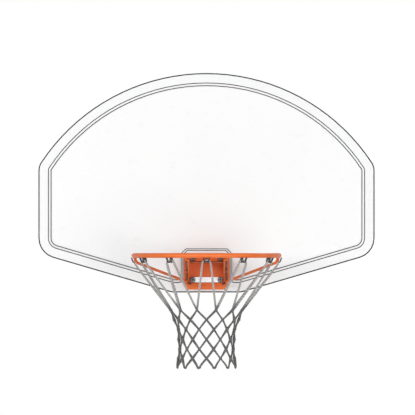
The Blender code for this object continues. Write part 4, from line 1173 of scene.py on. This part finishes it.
# Studio: a pale floor as far below the ring as a court is, clear from below, soft lamps and a plain
# white background. The camera stands level with the ring, far off, to keep the drawing's flat view.
COURT_DROP = 3.05
FLOOR_RADIUS = 9.0
CAMERA_DISTANCE = 20.0
DRAWING_PIXELS = 415
METRES_PER_PIXEL = 0.003323
RING_ROW = 255.5
BOARD_FACE_Y = -0.05
FLOOR_GLOW = 0.22
SKY_LIGHT = 0.37
LAMP_AIM = (0, -0.2, 0.05)

bpy.ops.object.select_all(action="DESELECT")
bpy.ops.mesh.primitive_circle_add(
    vertices=96, radius=FLOOR_RADIUS, fill_type="NGON", location=(0, 0, RING_MIDDLE.z - COURT_DROP),
)
floor = named("floor")


def seen(tree):
    """1 for rays that come from the camera, a gloss or a glass, else 0."""
    rays = tree.nodes.new("ShaderNodeLightPath")
    camera_ray = Tone(rays.outputs["Is Camera Ray"])
    return camera_ray + Tone(rays.outputs["Is Glossy Ray"]) + Tone(rays.outputs["Is Transmission Ray"])


floor_paint = bpy.data.materials.new("pale_floor")
floor_paint.use_nodes = True
tree = floor_paint.node_tree
shader = tree.nodes["Principled BSDF"]
shader.inputs["Roughness"].default_value = 0.9
shader.inputs["Emission Color"].default_value = (1, 1, 1, 1)
surface = Tone(tree.nodes.new("ShaderNodeTexCoord").outputs["Object"])
surface.noise(0.8, 3).mix((0.80, 0.80, 0.80), (0.83, 0.83, 0.82)).feed("Base Color")
reach = surface.node("VectorMath", {"operation": "LENGTH"}, {0: surface}, output="Value")
edge = reach.within(FLOOR_RADIUS * 0.45, FLOOR_RADIUS * 0.95)
(seen(tree) * (FLOOR_GLOW + edge * (1 - FLOOR_GLOW))).feed("Emission Strength")
from_below = Tone(tree.nodes.new("ShaderNodeNewGeometry").outputs["Backfacing"])
clear = surface.node("BsdfTransparent")
either = surface.node("MixShader", inputs={0: from_below, 1: Tone(shader.outputs["BSDF"]), 2: clear})
tree.links.new(either.socket, tree.nodes["Material Output"].inputs["Surface"])
floor.data.materials.append(floor_paint)

world = bpy.data.worlds.new("studio")
bpy.context.scene.world = world
world.use_nodes = True
tree = world.node_tree
background = tree.nodes["Background"]
background.inputs["Color"].default_value = (1, 1, 1, 1)
strength = SKY_LIGHT + seen(tree).within(0, 1) * (1 - SKY_LIGHT)
tree.links.new(strength.socket, background.inputs["Strength"])

for name, spot, size, watts in (
    ("key_lamp", (-3.0, -5.8, 1.2), 2.6, 158),
    ("fill_lamp", (2.2, -6.4, -0.5), 3.6, 168),
    ("back_lamp", (2.2, 4.2, 3.4), 2.8, 130),
):
    lamp = bpy.data.lights.new(name, "AREA")
    lamp.shape = "DISK"
    lamp.size = size
    lamp.energy = watts
    lamp_object = bpy.data.objects.new(name, lamp)
    lamp_object.location = spot
    aim = Vector(LAMP_AIM) - Vector(spot)
    lamp_object.rotation_euler = aim.to_track_quat("-Z", "Y").to_euler()
    bpy.context.scene.collection.objects.link(lamp_object)

camera = bpy.data.cameras.new("camera")
camera.sensor_width = 36
camera.lens = camera.sensor_width * CAMERA_DISTANCE / (DRAWING_PIXELS * METRES_PER_PIXEL)
camera.shift_y = (RING_ROW - DRAWING_PIXELS / 2) / DRAWING_PIXELS
camera.clip_end = 200
camera_object = bpy.data.objects.new("camera", camera)
camera_object.location = (METRES_PER_PIXEL, BOARD_FACE_Y - CAMERA_DISTANCE, RING_MIDDLE.z)
camera_object.rotation_euler = (math.pi / 2, 0, 0)
bpy.context.scene.collection.objects.link(camera_object)
bpy.context.scene.camera = camera_object
bpy.context.scene.view_settings.view_transform = "Standard"
